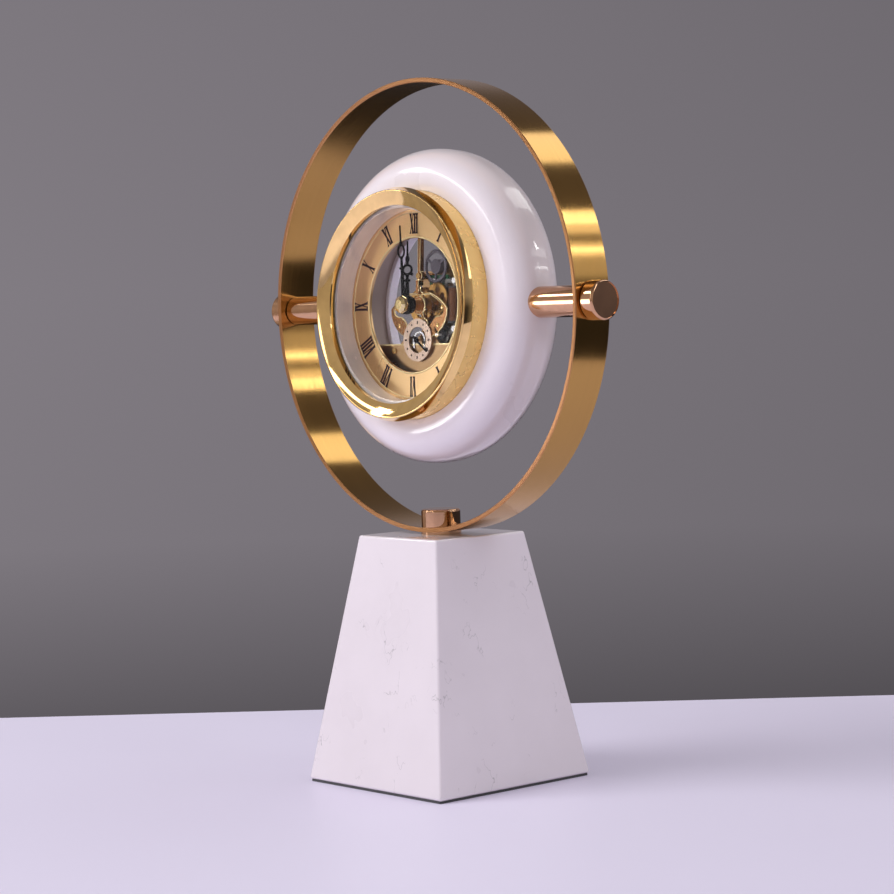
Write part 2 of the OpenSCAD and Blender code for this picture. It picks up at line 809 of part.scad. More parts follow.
// The polished bezel: an outer flank up to a rounded crest, then a slope down to its inner edge
module bezel_ring() {
    crest_y = case_front - bezel_h;
    color("gold") hang()
        round_the_dial() {
            polygon([
                [bezel_lip_r, case_front], [bezel_lip_r, case_front - bezel_lip_h],
                [bezel_crest_r - crest_r, crest_y + crest_r / 4],
                [bezel_crest_r - crest_r, crest_y + crest_r],
                [bezel_crest_r, crest_y + crest_r],
                [bezel_r, case_front - groove], [bezel_r - groove, case_front]]);
            translate([bezel_crest_r - crest_r, crest_y + crest_r]) circle(crest_r);
            translate([spigot_r - spigot_t / 2, case_front - groove])
                square([spigot_t, spigot_h + groove]);
        }
}

module lens() {
    color("lightcyan", 0.3) hang()
        round_the_dial()
            translate([0, case_front]) square([lens_r, lens_t]);
}

module lens_gasket() {
    color("black") hang()
        round_the_dial()
            translate([lens_r, case_front]) square([gasket_r - lens_r, lens_t]);
}

// The wall ring that closes the depth between glass and dial
module wall_ring() {
    color("rosybrown") hang()
        round_the_dial()
            translate([wall_inner_r, lens_back])
                square([seat - case_fit - wall_inner_r, wall_h]);
}

// The dial ring with a raised rim at its inner and its outer edge
module dial_ring() {
    rim_in = dial_open_r + rim_w;
    rim_out = wall_inner_r - rim_w - case_fit;
    color("tan") hang()
        difference() {
            round_the_dial() {
                translate([dial_open_r, dial_front])
                    square([seat - case_fit - dial_open_r, dial_t]);
                translate([dial_open_r + rim_w / 2, dial_front]) circle(rim_w / 2);
                translate([rim_out, dial_front - rim_h / 2]) square([rim_w, rim_h]);
            }
            // The rim's bead stops at the back of the ring
            round_the_dial()
                translate([0, dial_back]) square([rim_in + rim_w, rim_w]);
        }
}

// The white ring that closes the back, seated on the shell and screwed to the case
module rear_ring() {
    color("ghostwhite") hang()
        difference() {
            round_the_dial()
                polygon([
                    [rear_inner_r, case_back], [tube_outer_r, case_back],
                    [tube_outer_r, rear_seat], [rear_flange_r, rear_seat],
                    [rear_flange_r, rear_ring_back], [rear_inner_r, rear_ring_back]]);
            for (a = [45:90:315])
                translate([0, 0, ring_z])
                    rotate([0, a, 0])
                        translate([screw_circle_r, rear_ring_back + over, 0])
                            rotate([90, 0, 0]) cylinder(h = rear_t + 2 * over, d = rear_screw_d);
        }
}

module rear_ring_screws() {
    color("silver") hang()
        for (a = [45:90:315])
            translate([0, 0, ring_z])
                rotate([0, a, 0])
                    translate([screw_circle_r, rear_ring_back, 0]) {
                        rotate([90, 0, 0])
                            cylinder(h = rear_t + rear_screw_len - over, d = rear_screw_d);
                        rotate([-90, 0, 0])
                            cylinder(h = rear_screw_head_h, d = rear_screw_head_d);
                    }
}

// Spacers between the dial and the movement: two on the lower plate, one on the strut
module dial_feet() {
    color("burlywood") hang() {
        for (i = [0, 1]) disc_at(feet[i], dial_back, lower_front, foot_r);
        disc_at(feet[2], dial_back, strut_front, foot_r);
    }
}

module dial_screws() {
    color("silver") hang()
        for (p = feet) {
            back = (p[0] == 0) ? strut_back : lower_back;
            disc_at(p, back, back + head_screw_h, head_screw_r);
        }
}

// The lower plate: a round segment with lobes for the seconds and intermediate arbors
module lower_plate() {
    shoulder_foot = lower_edge * 0.78;
    shoulder_v = lower_edge * 0.8;
    shoulder_in = small_open_r * 1.1;
    color("burlywood") hang()
        between(lower_front, lower_back)
            difference() {
                union() {
                    intersection() {
                        circle(lower_r);
                        translate([-lower_r, -2 * lower_r])
                            square([2 * lower_r, 2 * lower_r - lower_edge]);
                    }
                    difference() {
                        polygon([
                            [-shoulder_foot, -lower_edge - over],
                            [shoulder_foot, -lower_edge - over], [shoulder_foot, -lower_edge],
                            [small_r, -shoulder_v], [-small_r, -shoulder_v],
                            [-shoulder_foot, -lower_edge]]);
                        translate([-shoulder_in, -lower_edge])
                            square([2 * shoulder_in, lower_edge]);
                    }
                    translate(seconds_at_place) circle(boss_r);
                    translate(inter_at) circle(boss_r);
                }
                translate(seconds_at_place) circle(arbor_r + bearing_fit);
                translate(inter_at) circle(arbor_r + bearing_fit);
                translate(pillar_left) circle(shank_r);
                translate(pillar_right) circle(shank_r);
            }
}

// The front bridge: a kite-shaped frame round a hub, with a collar for the small dial.
// The right half of its outline, from the top middle round to the small dial's rim
bridge_tip = [bridge_half_w, -bridge_top * 0.27];
bridge_shoulder = [bridge_half_w * 0.42, bridge_top];
rim_touch = [small_r * 0.98, -small_drop * 0.91];
bridge_outer = concat(
    [[0, bridge_top]],
    curve(bridge_shoulder, [bridge_half_w * 0.76, bridge_top * 0.55], bridge_tip),
    curve(bridge_tip, [bridge_half_w, -small_drop * 0.66], rim_touch),
    [rim_touch, [0, -small_drop]]);
// The right half of its opening
window_tip = [bridge_half_w * 0.87, -bridge_top * 0.27];
window_dip = [bridge_half_w * 0.62, -small_drop * 0.32];
window_foot = [bridge_half_w * 0.38, -small_drop * 0.6];
window_top = bridge_top - bridge_band_w;
bridge_window = concat(
    [[0, window_top]],
    curve([bridge_half_w * 0.4, window_top], [bridge_half_w * 0.7, bridge_top * 0.4],
        window_tip),
    curve(window_tip, [bridge_half_w * 0.87, -small_drop * 0.33], window_dip),
    curve(window_dip, [bridge_half_w * 0.5, -small_drop * 0.38], window_foot),
    [window_foot, [0, -small_drop * 0.9]]);
// The right half of the tab that carries the strut, flared at its foot
bridge_tab = concat(
    [[0, strut_foot_top]],
    curve([lap_w / 2, strut_foot_top], [lap_w / 2, bridge_top], [lap_w * 2, bridge_top]),
    [[lap_w * 2, bridge_top], [lap_w * 2, window_top], [lap_w / 2, window_top],
        [lap_w / 2, 0], [0, 0]]);
// The whole outline from its right half: down the left side and up the right one
function both_sides(half) = concat([for (p = half) [-p[0], p[1]]],
    [for (i = [len(half) - 2:-1:1]) half[i]]);
module front_bridge() {
    rotor_boss_r = boss_r * 0.7;
    color("gold") hang()
        between(bridge_front, lower_front)
            difference() {
                union() {
                    difference() {
                        polygon(both_sides(bridge_outer));
                        polygon(both_sides(bridge_window));
                    }
                    circle(bridge_hub_r);
                    bar(centre_at, third_at, arm_w);
                    bar(third_at, seconds_at_place, arm_w);
                    translate(third_at) circle(boss_r);
                    translate(rotor_at) circle(rotor_boss_r);
                    polygon(both_sides(bridge_tab));
                    translate(seconds_at_place) circle(small_r - arm_w / 4);
                }
                translate(seconds_at_place) circle(small_open_r + arm_w / 2);
                circle(hour_pipe_r + bearing_fit);
                translate(third_at) circle(arbor_r + bearing_fit);
                translate(rotor_at) circle(arbor_r + bearing_fit);
            }
}

// The strut from the bridge up to the dial, lapped onto the bridge's top
module strut() {
    foot_y = strut_front - lap_t;
    color("gold") hang() {
        between(strut_front, strut_back)
            difference() {
                union() {
                    translate([-strut_w / 2, strut_foot_top])
                        square([strut_w, strut_top - strut_foot_top]);
                    translate(pillar_top) circle(strut_pad_r);
                    translate([0, top_foot_v]) circle(foot_r);
                }
                translate(pillar_top) circle(shank_r);
            }
        between(foot_y, strut_front)
            translate([-lap_w / 2, lap_bottom]) square([lap_w, lap_top - lap_bottom]);
    }
}

module small_dial() {
    color("bisque") hang()
        between(small_front, bridge_front)
            translate(seconds_at_place)
                difference() {
                    circle(small_r);
                    circle(small_open_r);
                }
}

// A bright arch over the seconds arbor, standing on the lower plate
module seconds_cock() {
    arch_r = small_open_r * 0.68;
    arch_w = small_open_r * 0.16;
    color("silver") hang()
        between(lower_front - bridge_t / 2, lower_front)
            difference() {
                union() {
                    translate(seconds_at_place) circle(arch_r);
                    translate(seconds_at_place + [-arch_r, -arch_r * 0.9])
                        square([2 * arch_r, arch_r * 0.9]);
                }
                translate(seconds_at_place) circle(arch_r - arch_w);
                translate(seconds_at_place + [-arch_r + arch_w, -arch_r])
                    square([2 * (arch_r - arch_w), arch_r]);
            }
}

// The rear plate: carries the rear pivots of every arbor
module rear_plate() {
    pivots = [third_at, seconds_at_place, inter_at, rotor_at, motion_at, setting_at];
    color("darkgoldenrod") hang()
        between(rear_plate_front, rear_plate_back)
            difference() {
                union() {
                    round_box(plate_left, plate_bottom, plate_right, plate_top, plate_corner);
                    round_box(strip_left, plate_bottom, plate_right,
                        -lower_edge, plate_corner);
                    translate(setting_at) circle(setting_boss_r);
                }
                circle(centre_arbor_r + bearing_fit);
                for (p = pivots) translate(p) circle(arbor_r + bearing_fit);
                for (p = [pillar_left, pillar_right, pillar_top, core_top, core_bottom])
                    translate(p) circle(shank_r);
            }
}

module pillars() {
    color("gold") hang() {
        for (p = [pillar_left, pillar_right])
            disc_at(p, lower_back, rear_plate_front, pillar_r);
        disc_at(pillar_top, strut_back, rear_plate_front, pillar_r);
    }
}

// Screws of the three frame pillars, front and back
module plate_screws() {
    head_sink = head_screw_h / 2;
    color("silver") hang() {
        for (p = [pillar_left, pillar_right]) {
            disc_at(p, lower_front - head_screw_h, lower_front, head_screw_r);
            disc_at(p, lower_front - head_sink, lower_back, shank_r);
        }
        disc_at(pillar_top, strut_front - head_screw_h, strut_front, head_screw_r);
        disc_at(pillar_top, strut_front - head_sink, strut_back, shank_r);
        for (p = [pillar_left, pillar_right, pillar_top, core_top, core_bottom]) {
            disc_at(p, rear_plate_front, rear_plate_back + head_sink, shank_r);
            disc_at(p, rear_plate_back, rear_plate_back + head_screw_h, head_screw_r);
        }
    }
}

// A trough for the battery on the back of the lower plate
module battery_tray() {
    depth = battery_r + tray_wall + battery_fit;
    color("black") hang()
        translate([0, lower_back, ring_z - battery_drop])
            difference() {
                translate([-tray_half, 0, -tray_inner_r - tray_wall])
                    cube([2 * tray_half, depth, 2 * (tray_inner_r + tray_wall)]);
                translate([-tray_inner_half, tray_wall, -tray_inner_r])
                    cube([2 * tray_inner_half, depth, 2 * tray_inner_r]);
            }
}

module battery() {
    color("dimgray") hang()
        translate([-battery_len / 2, battery_mid, ring_z - battery_drop])
            rotate([0, 90, 0]) cylinder(h = battery_len, r = battery_r);
}

module battery_contacts() {
    half = battery_r / 2;
    color("silver") hang()
        for (side = [-1, 1])
            translate([side * (tray_inner_half - contact_t / 2), battery_mid - half,
                    ring_z - battery_drop])
                translate([-contact_t / 2, -half, -half]) cube([contact_t, battery_r, 2 * half]);
}

// The stator: a flat strip from the rotor's hole to both ends of the coil's core
module stator() {
    hole_r = magnet_r + air_gap;
    riser = [(rotor_at[0] + coil_x) / 2 - stator_w * 0.9, core_half];
    color("gray") hang()
        between(stator_front, stator_back)
            difference() {
                union() {
                    translate(rotor_at) circle(hole_r + stator_w);
                    bar(rotor_at, core_bottom, stator_w * 1.4);
                    bar(rotor_at, riser, stator_w);
                    bar(riser, core_top, stator_w);
                    bar(core_bottom, core_top, stator_w);
                }
                translate(rotor_at) circle(hole_r);
                translate(core_top) circle(shank_r);
                translate(core_bottom) circle(shank_r);
            }
}

// The coil's axis stands upright, so these pieces are turned about Z
stator_mid = (stator_front + stator_back) / 2;
module coil_piece(low, high, r, bore) {
    translate([coil_x, stator_mid, ring_z + low])
        difference() {
            cylinder(h = high - low, r = r);
            translate([0, 0, -over]) cylinder(h = high - low + 2 * over, r = bore);
        }
}

module coil_bobbin() {
    color("black") hang()
        difference() {
            union() {
                coil_piece(-bobbin_half, -bobbin_half + bobbin_flange_t, bobbin_r, shank_r);
                coil_piece(-bobbin_half, bobbin_half, bobbin_tube_r, shank_r);
                coil_piece(bobbin_half - bobbin_flange_t, bobbin_half, bobbin_r, shank_r);
            }
            translate([coil_x - stator_w / 2, stator_front, ring_z - core_half])
                cube([stator_w, stator_t, 2 * core_half]);
        }
}

module coil_winding() {
    color("chocolate") hang()
        coil_piece(-bobbin_half + bobbin_flange_t, bobbin_half - bobbin_flange_t, winding_r,
            bobbin_tube_r);
}

module stator_pillars() {
    color("gold") hang()
        for (p = [core_top, core_bottom])
            disc_at(p, stator_back, rear_plate_front, pillar_r);
}

module stator_screws() {
    color("silver") hang()
        for (p = [core_top, core_bottom]) {
            disc_at(p, stator_front - head_screw_h, stator_front, head_screw_r);
            disc_at(p, stator_front, stator_back, shank_r);
        }
}

// The circuit board, with two posts that stand on the rear plate
board_left = pillar_r + layer_gap;
board_low = train_mod * (centre_teeth / 2 + tooth_tip_share) + wheel_t + layer_gap;
module circuit_board() {
    color("darkgreen") hang() {
        between(board_front, board_back)
            translate([board_left, board_low]) square([board_w, board_h]);
        for (x = [board_left + board_t, board_left + board_w - board_t])
            disc_at([x, board_low + board_h / 2], board_back, rear_plate_front, board_t);
    }
}

module chip() {
    size = board_h * 0.7;
    color("black") hang()
        between(board_front - board_t, board_front)
            translate([board_left + board_w * 0.62, board_low + (board_h - size) / 2])
                square([size, size]);
}

module crystal_can() {
    can_r = board_t;
    can_len = board_w * 0.45;
    color("silver") hang()
        translate([board_left + board_t, board_front - can_r, ring_z + board_low + board_h / 2])
            rotate([0, 90, 0]) cylinder(h = can_len, r = can_r);
}

// The centre wheel on its long arbor, which carries the minute pipe by friction
module centre_wheel() {
    color("goldenrod") hang() {
        wheel(centre_at, centre_teeth, train_mod, centre_turn, centre_front, centre_arbor_r, 5);
        disc_at(centre_at, centre_arbor_end, rear_plate_back, centre_arbor_r);
    }
}

module clutch_washer() {
    color("silver") hang()
        between(cannon_back, centre_front)
            difference() {
                circle(hour_pipe_r);
                circle(centre_arbor_r);
            }
}

// The cannon pinion and the minute pipe, open at the back for the centre arbor
module cannon_pinion() {
    color("goldenrod") hang()
        difference() {
            union() {
                between(cannon_front, cannon_back)
                    teeth(cannon_teeth, motion_mod, cannon_turn);
                disc_at(centre_at, minute_front - nut_h / 2, cannon_back, minute_pipe_r);
            }
            disc_at(centre_at, minute_bore_end, cannon_back + over,
                centre_arbor_r + bearing_fit);
        }
}

// The minute hand: a long bar with a small cross, an open oval loop and a thin tip
minute_loop_share = 0.675;
module minute_hand() {
    loop_mid = [0, minute_len * minute_loop_share];
    loop_w = 2.4;
    loop_h = 3.1;
    loop_wall = 0.75;
    low_w = 2.6;
    neck_w = 1;
    tip_w = 0.5;
    cross_v = minute_len * 0.46;
    color("black") hang() {
        between(minute_front, minute_back)
            rotate(-minute_at) difference() {
                union() {
                    circle(hand_boss_r);
                    polygon([
                        [-low_w / 2, 0], [low_w / 2, 0],
                        [neck_w / 2, loop_mid[1] - loop_h + loop_wall / 2],
                        [-neck_w / 2, loop_mid[1] - loop_h + loop_wall / 2]]);
                    polygon(oval(loop_mid, loop_w, loop_h, 32));
                    polygon([
                        [-neck_w, loop_mid[1] - loop_h * 0.85],
                        [0, loop_mid[1] - loop_h - 2 * loop_wall],
                        [neck_w, loop_mid[1] - loop_h * 0.85]]);
                    polygon([
                        [-neck_w, loop_mid[1] + loop_h * 0.85],
                        [neck_w, loop_mid[1] + loop_h * 0.85],
                        [neck_w * 0.35, loop_mid[1] + loop_h + 2 * loop_wall],
                        [tip_w / 2, minute_len], [-tip_w / 2, minute_len],
                        [-neck_w * 0.35, loop_mid[1] + loop_h + 2 * loop_wall]]);
                    bar([-neck_w, cross_v], [neck_w, cross_v], neck_w);
                }
                circle(minute_pipe_r);
                polygon(oval(loop_mid, loop_w - loop_wall, loop_h - loop_wall, 32));
            }
        between(minute_back, minute_back + minute_collar_t)
            difference() {
                circle(minute_collar_r);
                circle(minute_pipe_r);
            }
    }
}

// The faceted nut on the minute pipe
module hub_nut() {
    facets = 16;
    cap_share = 0.4;
    color("gold") hang()
        difference() {
            union() {
                between(nut_front, minute_front) circle(nut_r * 0.78);
                between(nut_front + nut_h * cap_share, minute_front)
                    polygon([for (i = [0:2 * facets - 1])
                        polar(i % 2 == 0 ? nut_r : nut_r * 0.9, i * 180 / facets)]);
            }
            disc_at(centre_at, minute_front - nut_h / 2, minute_front + over, minute_pipe_r);
        }
}

// The hour wheel and its pipe, which runs in the bridge's hub
module hour_wheel() {
    bore_r = minute_pipe_r + bearing_fit;
    color("goldenrod") hang() {
        wheel(centre_at, hour_teeth, motion_mod, hour_turn, hour_wheel_front, bore_r, 6);
        between(hour_front, hour_wheel_front)
            difference() {
                circle(hour_pipe_r);
                circle(bore_r);
            }
    }
}

// The hour hand: a bar with small bosses, an open crescent with horns, a knob and a thin tip
hour_ring_share = 0.55;
hour_knob_share = 0.72;
module hour_hand() {
    ring_mid = [0, hour_len * hour_ring_share];
    knob_mid = [0, hour_len * hour_knob_share];
    ring_w = 3.4;
    ring_h = 2.5;
    ring_wall = 0.95;
    low_w = 3.4;
    neck_w = 1.2;
    horn_r = 0.7;
    tip_w = 0.5;
    stem_top = ring_mid[1] - ring_h + ring_wall;
    boss_v = hour_len * 0.38;
    color("black") hang() {
        between(hour_front, hour_back)
            difference() {
                union() {
                    circle(hand_boss_r);
                    polygon([
                        [-low_w / 2, 0], [low_w / 2, 0],
                        [neck_w / 2, stem_top], [-neck_w / 2, stem_top]]);
                    polygon(oval(ring_mid, ring_w, ring_h, 32));
                    for (side = [-1, 1])
                        translate([side * (ring_w - horn_r / 2), ring_mid[1] - ring_h * 0.8])
                            circle(horn_r);
                    bar([-ring_w + horn_r / 2, ring_mid[1] - ring_h * 0.8],
                        [ring_w - horn_r / 2, ring_mid[1] - ring_h * 0.8], horn_r);
                    translate([0, ring_mid[1] - ring_h]) circle(neck_w * 0.8);
                    bar([-neck_w * 1.1, boss_v], [neck_w * 1.1, boss_v], neck_w);
                    polygon(oval(knob_mid, neck_w, neck_w * 1.2, 16));
                    polygon([
                        [-neck_w / 2, ring_mid[1] + ring_h * 0.9],
                        [neck_w / 2, ring_mid[1] + ring_h * 0.9],
                        [tip_w / 2, hour_len], [-tip_w / 2, hour_len]]);
                }
                circle(hour_pipe_r);
                polygon(oval(ring_mid, ring_w - ring_wall, ring_h - ring_wall, 32));
            }
        between(hour_back, hour_back + hour_lift / 2)
            difference() {
                circle(hour_collar_r);
                circle(hour_pipe_r);
            }
    }
}

// The motion wheel and its pinion on one arbor
module motion_wheel() {
    color("goldenrod") hang() {
        wheel(motion_at, motion_teeth, motion_mod, motion_turn, motion_front, arbor_r, 6);
        between(hour_wheel_front, motion_front)
            translate(motion_at) teeth(motion_pinion_teeth, motion_mod, motion_pinion_turn);
        disc_at(motion_at, hour_wheel_front, rear_plate_back, arbor_r);
    }
}

// The dark setting wheel: an open rim on three spokes, on the set knob's arbor
module setting_wheel() {
    pitch_r = motion_mod * setting_teeth / 2;
    rim_share = 0.82;
    hub_share = 0.45;
    color("dimgray") hang() {
        between(motion_front, motion_back)
            translate(setting_at) {
                difference() {
                    teeth(setting_teeth, motion_mod, setting_turn);
                    circle(pitch_r * rim_share);
                }
                difference() {
                    union() {
                        circle(pitch_r * hub_share);
                        for (a = [30:120:270])
                            bar([0, 0], polar(pitch_r * (1 + rim_share) / 2, a), arm_w * 0.6);
                    }
                    circle(arbor_r);
                }
            }
        disc_at(setting_at, motion_front + wheel_t / 2, motion_back + 2 * pinion_t,
            pitch_r * hub_share);
        disc_at(setting_at, motion_front, rear_plate_back + set_knob_gap + set_knob_t / 2,
            arbor_r);
    }
}

// The ribbed knob at the back that sets the hands
module set_knob() {
    ribs = 24;
    front = rear_plate_back + set_knob_gap;
    color("black") hang()
        difference() {
            union() {
                between(front, front + set_knob_t)
                    translate(setting_at)
                        polygon([for (i = [0:2 * ribs - 1])
                            polar(i % 2 == 0 ? set_knob_r : set_knob_r * 0.93,
                                i * 180 / ribs)]);
                disc_at(setting_at, front - set_knob_gap / 2, front, set_knob_r / 2);
            }
            disc_at(setting_at, front - set_knob_gap, front + set_knob_t / 2, arbor_r);
        }
}

module third_wheel() {
    color("goldenrod") hang() {
        wheel(third_at, third_teeth, train_mod, third_turn, third_front, arbor_r, 5);
        pinion(third_at, small_teeth, train_mod, third_pinion_turn, third_pinion_front);
        disc_at(third_at, bridge_front, rear_plate_back, arbor_r);
    }
}

module seconds_wheel() {
    color("goldenrod") hang() {
        wheel(seconds_at_place, seconds_teeth, train_mod, seconds_turn, seconds_front, arbor_r, 5);
        pinion(seconds_at_place, small_teeth, train_mod, seconds_pinion_turn,
            seconds_pinion_front);
        disc_at(seconds_at_place, seconds_hand_back, rear_plate_back, arbor_r);
    }
}

module seconds_hand() {
    tail = seconds_len * 0.3;
    neck_w = 1.1;
    color("black") hang()
        between(seconds_hand_front, seconds_hand_back)
            translate(seconds_at_place)
                rotate(-seconds_at) {
                    circle(seconds_boss_r);
                    polygon([
                        [-neck_w / 2, -tail], [neck_w / 2, -tail],
                        [neck_w / 4, seconds_len], [-neck_w / 4, seconds_len]]);
                }
}

module inter_wheel() {
    color("goldenrod") hang() {
        wheel(inter_at, inter_teeth, train_mod, inter_turn, inter_front, arbor_r, 5);
        pinion(inter_at, small_teeth, train_mod, inter_pinion_turn, inter_pinion_front);
        disc_at(inter_at, lower_front, rear_plate_back, arbor_r);
    }
}

module rotor_magnet() {
    color("dimgray") hang()
        between(magnet_front, magnet_back)
            translate(rotor_at)
                difference() {
                    circle(magnet_r);
                    circle(arbor_r);
                }
}

module rotor_pinion() {
    color("ghostwhite") hang() {
        pinion(rotor_at, small_teeth, train_mod, rotor_turn, rotor_pinion_front);
        disc_at(rotor_at, bridge_front, rear_plate_back, arbor_r);
    }
}

base_block();
base_pad();
ring_stud();
base_washer();
base_nut();
saddle_washer();
ring_band();
ring_cap_nut();
head_shell();
side_inserts();
rod_right();
rod_left();
knob_right();
knob_left();
case_band();
bezel_ring();
lens();
lens_gasket();
wall_ring();
dial_ring();
rear_ring();
rear_ring_screws();
dial_feet();
dial_screws();
lower_plate();
front_bridge();
strut();
small_dial();
seconds_cock();
rear_plate();
pillars();
plate_screws();
battery_tray();
battery();
battery_contacts();
stator();
coil_bobbin();
coil_winding();
stator_pillars();
stator_screws();
circuit_board();
chip();
crystal_can();
centre_wheel();
clutch_washer();
cannon_pinion();
minute_hand();
hub_nut();
hour_wheel();
hour_hand();
motion_wheel();
setting_wheel();
set_knob();
third_wheel();
seconds_wheel();
seconds_hand();
inter_wheel();
rotor_magnet();
rotor_pinion();
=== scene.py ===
"""Table clock: a white round head with an open dial, hung in a gold ring on a tapered block."""

import bpy
import numpy as np
from bpy.props import FloatProperty, FloatVectorProperty, IntProperty, PointerProperty
from mathutils import Matrix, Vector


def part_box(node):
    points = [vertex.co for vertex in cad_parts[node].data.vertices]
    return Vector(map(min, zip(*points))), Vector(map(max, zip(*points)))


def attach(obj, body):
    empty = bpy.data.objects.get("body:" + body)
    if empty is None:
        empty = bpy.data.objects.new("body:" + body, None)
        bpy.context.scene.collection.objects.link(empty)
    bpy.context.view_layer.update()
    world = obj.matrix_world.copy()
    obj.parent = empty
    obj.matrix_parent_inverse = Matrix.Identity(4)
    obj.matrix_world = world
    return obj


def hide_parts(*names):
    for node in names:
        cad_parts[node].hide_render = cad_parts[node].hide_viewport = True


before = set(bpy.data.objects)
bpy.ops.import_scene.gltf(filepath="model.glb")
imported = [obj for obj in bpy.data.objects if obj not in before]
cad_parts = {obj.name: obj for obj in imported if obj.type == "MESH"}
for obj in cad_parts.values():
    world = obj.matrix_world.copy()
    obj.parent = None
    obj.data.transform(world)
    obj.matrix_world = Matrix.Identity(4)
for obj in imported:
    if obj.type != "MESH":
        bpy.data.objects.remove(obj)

bl_info = {
    "name": "Ring Table Clock",
    "version": (1, 0, 0),
    "blender": (4, 5, 0),
    "location": "View3D > Sidebar > Clock",
    "description": "Finishes and fine pieces of a table clock that tilts in its ring",
    "category": "Object",
}

MM = 0.001
MICRON = 0.000001

# The dial's axis, the pivots' middle and the head's lean, as in the CAD
AXIS_Z = 0.211
HEAD = np.array([0.0, 0.0, AXIS_Z])
LEAN = np.radians(3.0)

# Sizes of the case and the dial, as in the CAD
SHELL_FLAT = 3.0 * MM
LEDGE_WIDE = 1.4 * MM
BAND_DEEP = 9.7 * MM
TUBE_WALL = 3.0 * MM
SEAT_RADIUS = 44.0 * MM
GROOVE = 0.45 * MM
REAR_REACH = 2.6 * MM
LIP_RADIUS = 43.4 * MM
LIP_HIGH = 1.8 * MM
FLANK_WIDE = 1.2 * MM
CREST_RADIUS = 0.6 * MM
DIAL_OPENING = 29.5 * MM
DIAL_EDGE = 41.0 * MM
SMALL_DROP = 15.3 * MM

# How far a new surface stays inside the solid that it stands for, and a print is sunk
INSET = 0.02 * MM
SKIM = 0.01 * MM
PRINT_SUNK = 0.005 * MM


def hung(points, lean=LEAN):
    """Points of the head, turned about its pivots: Y and Z are mixed by the lean's cosine and
    sine, so that the top goes back."""
    p = np.asarray(points, float) - HEAD
    c, s = np.cos(lean), np.sin(lean)
    return np.stack([p[..., 0], p[..., 1] * c + p[..., 2] * s,
                     p[..., 2] * c - p[..., 1] * s], -1) + HEAD


def upright_box(node):
    """Lowest and highest corner of a node of the head, as it is before the head leans."""
    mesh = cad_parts[node].data
    points = np.empty(len(mesh.vertices) * 3)
    mesh.vertices.foreach_get("co", points)
    points = hung(points.reshape(-1, 3), -LEAN)
    return points.min(0), points.max(0)


def depths(node):
    """Front and back of a node of the head, along the dial's axis."""
    lowest, highest = upright_box(node)
    return lowest[1], highest[1]


def length(label, words, value):
    """A length that the user may change, in metres."""
    return FloatProperty(name=label, description=words, default=value, min=0.0, unit="LENGTH",
                         precision=5)


def shade(label, words, red, green, blue):
    """A colour that the user may change, given as it is seen, from 0 to 255."""
    seen = np.array([red, green, blue]) / 255
    plain = np.where(seen <= 0.04045, seen / 12.92, ((seen + 0.055) / 1.055) ** 2.4)
    return FloatVectorProperty(name=label, description=words, subtype="COLOR", size=3,
                               min=0.0, max=1.0, default=tuple(plain))


class ClockSizes(bpy.types.PropertyGroup):
    """Sizes of the fine pieces"""
    numeral_foot: length("Numeral foot", "Radius at which the hour numerals start", 31.4 * MM)
    numeral_height: length("Numeral height", "Height of the hour numerals", 9.0 * MM)
    numeral_pitch: length("Stroke pitch", "Distance between neighbouring strokes", 1.45 * MM)
    thick_stroke: length("Thick stroke", "Width of a numeral's thick strokes", 1.0 * MM)
    thin_stroke: length("Thin stroke", "Width of a numeral's thin strokes", 0.45 * MM)
    print_height: length("Print height", "Thickness of the printed marks", 0.06 * MM)
    mark_radius: length("Mark circle", "Radius of the marks on the small dial", 7.7 * MM)
    mark_size: length("Mark size", "Length of a mark on the small dial", 1.3 * MM)
    jewel_radius: length("Jewel radius", "Radius of the bearing jewels' settings", 0.95 * MM)
    jewel_height: length("Jewel height", "Height of the jewels' settings", 0.32 * MM)


class ClockColours(bpy.types.PropertyGroup):
    """Colours of the finishes"""
    lacquer: shade("Lacquer", "White lacquer of the head and the base", 236, 227, 233)
    ring: shade("Ring", "Brushed gold of the ring", 197, 154, 88)
    edge: shade("Ring edge", "Copper tint of the ring's cut edges", 206, 152, 104)
    rose: shade("Rose gold", "Polished rose gold of the rods and knobs", 216, 170, 134)
    bezel: shade("Bezel", "Polished gold of the bezel", 252, 214, 146)
    band: shade("Case band", "Satin gold of the case", 252, 216, 138)
    dial: shade("Dial", "Satin gold of the dial", 232, 194, 142)
    wall: shade("Wall", "Satin wall between glass and dial", 248, 236, 230)
    plate: shade("Plates", "Brushed gold of the plates", 182, 148, 108)
    # Darker than the other golds, standing in for the dark surroundings that the polished bridge
    # mirrors: painted shade on gold
    bridge: shade("Bridge", "Polished gold of bridge and strut", 172, 124, 82)
    # The nut's pale gold is also the painted highlight on the cut edges, the dial rims and the
    # plate's bead
    nut: shade("Hub nut", "Pale gold of the hub nut", 250, 226, 168)
    brass: shade("Brass", "Stamped brass of the wheels", 196, 150, 86)
    black: shade("Black", "Black of the hands", 8, 5, 10)
    ink: shade("Ink", "Dark brown print of the numerals", 44, 26, 32)
    bore: shade("Case bore", "Dull inside of the case", 168, 150, 142)
    rear: shade("Rear ring", "White plastic of the rear ring", 240, 234, 246)
    floor: shade("Floor", "Pale table", 230, 223, 244)
    backdrop: shade("Backdrop", "Grey behind the clock", 120, 115, 121)


def sizes():
    """The sizes of this scene."""
    return bpy.context.scene.clock_sizes


def colours():
    """The colours of this scene."""
    return bpy.context.scene.clock_colours


# Surfaces

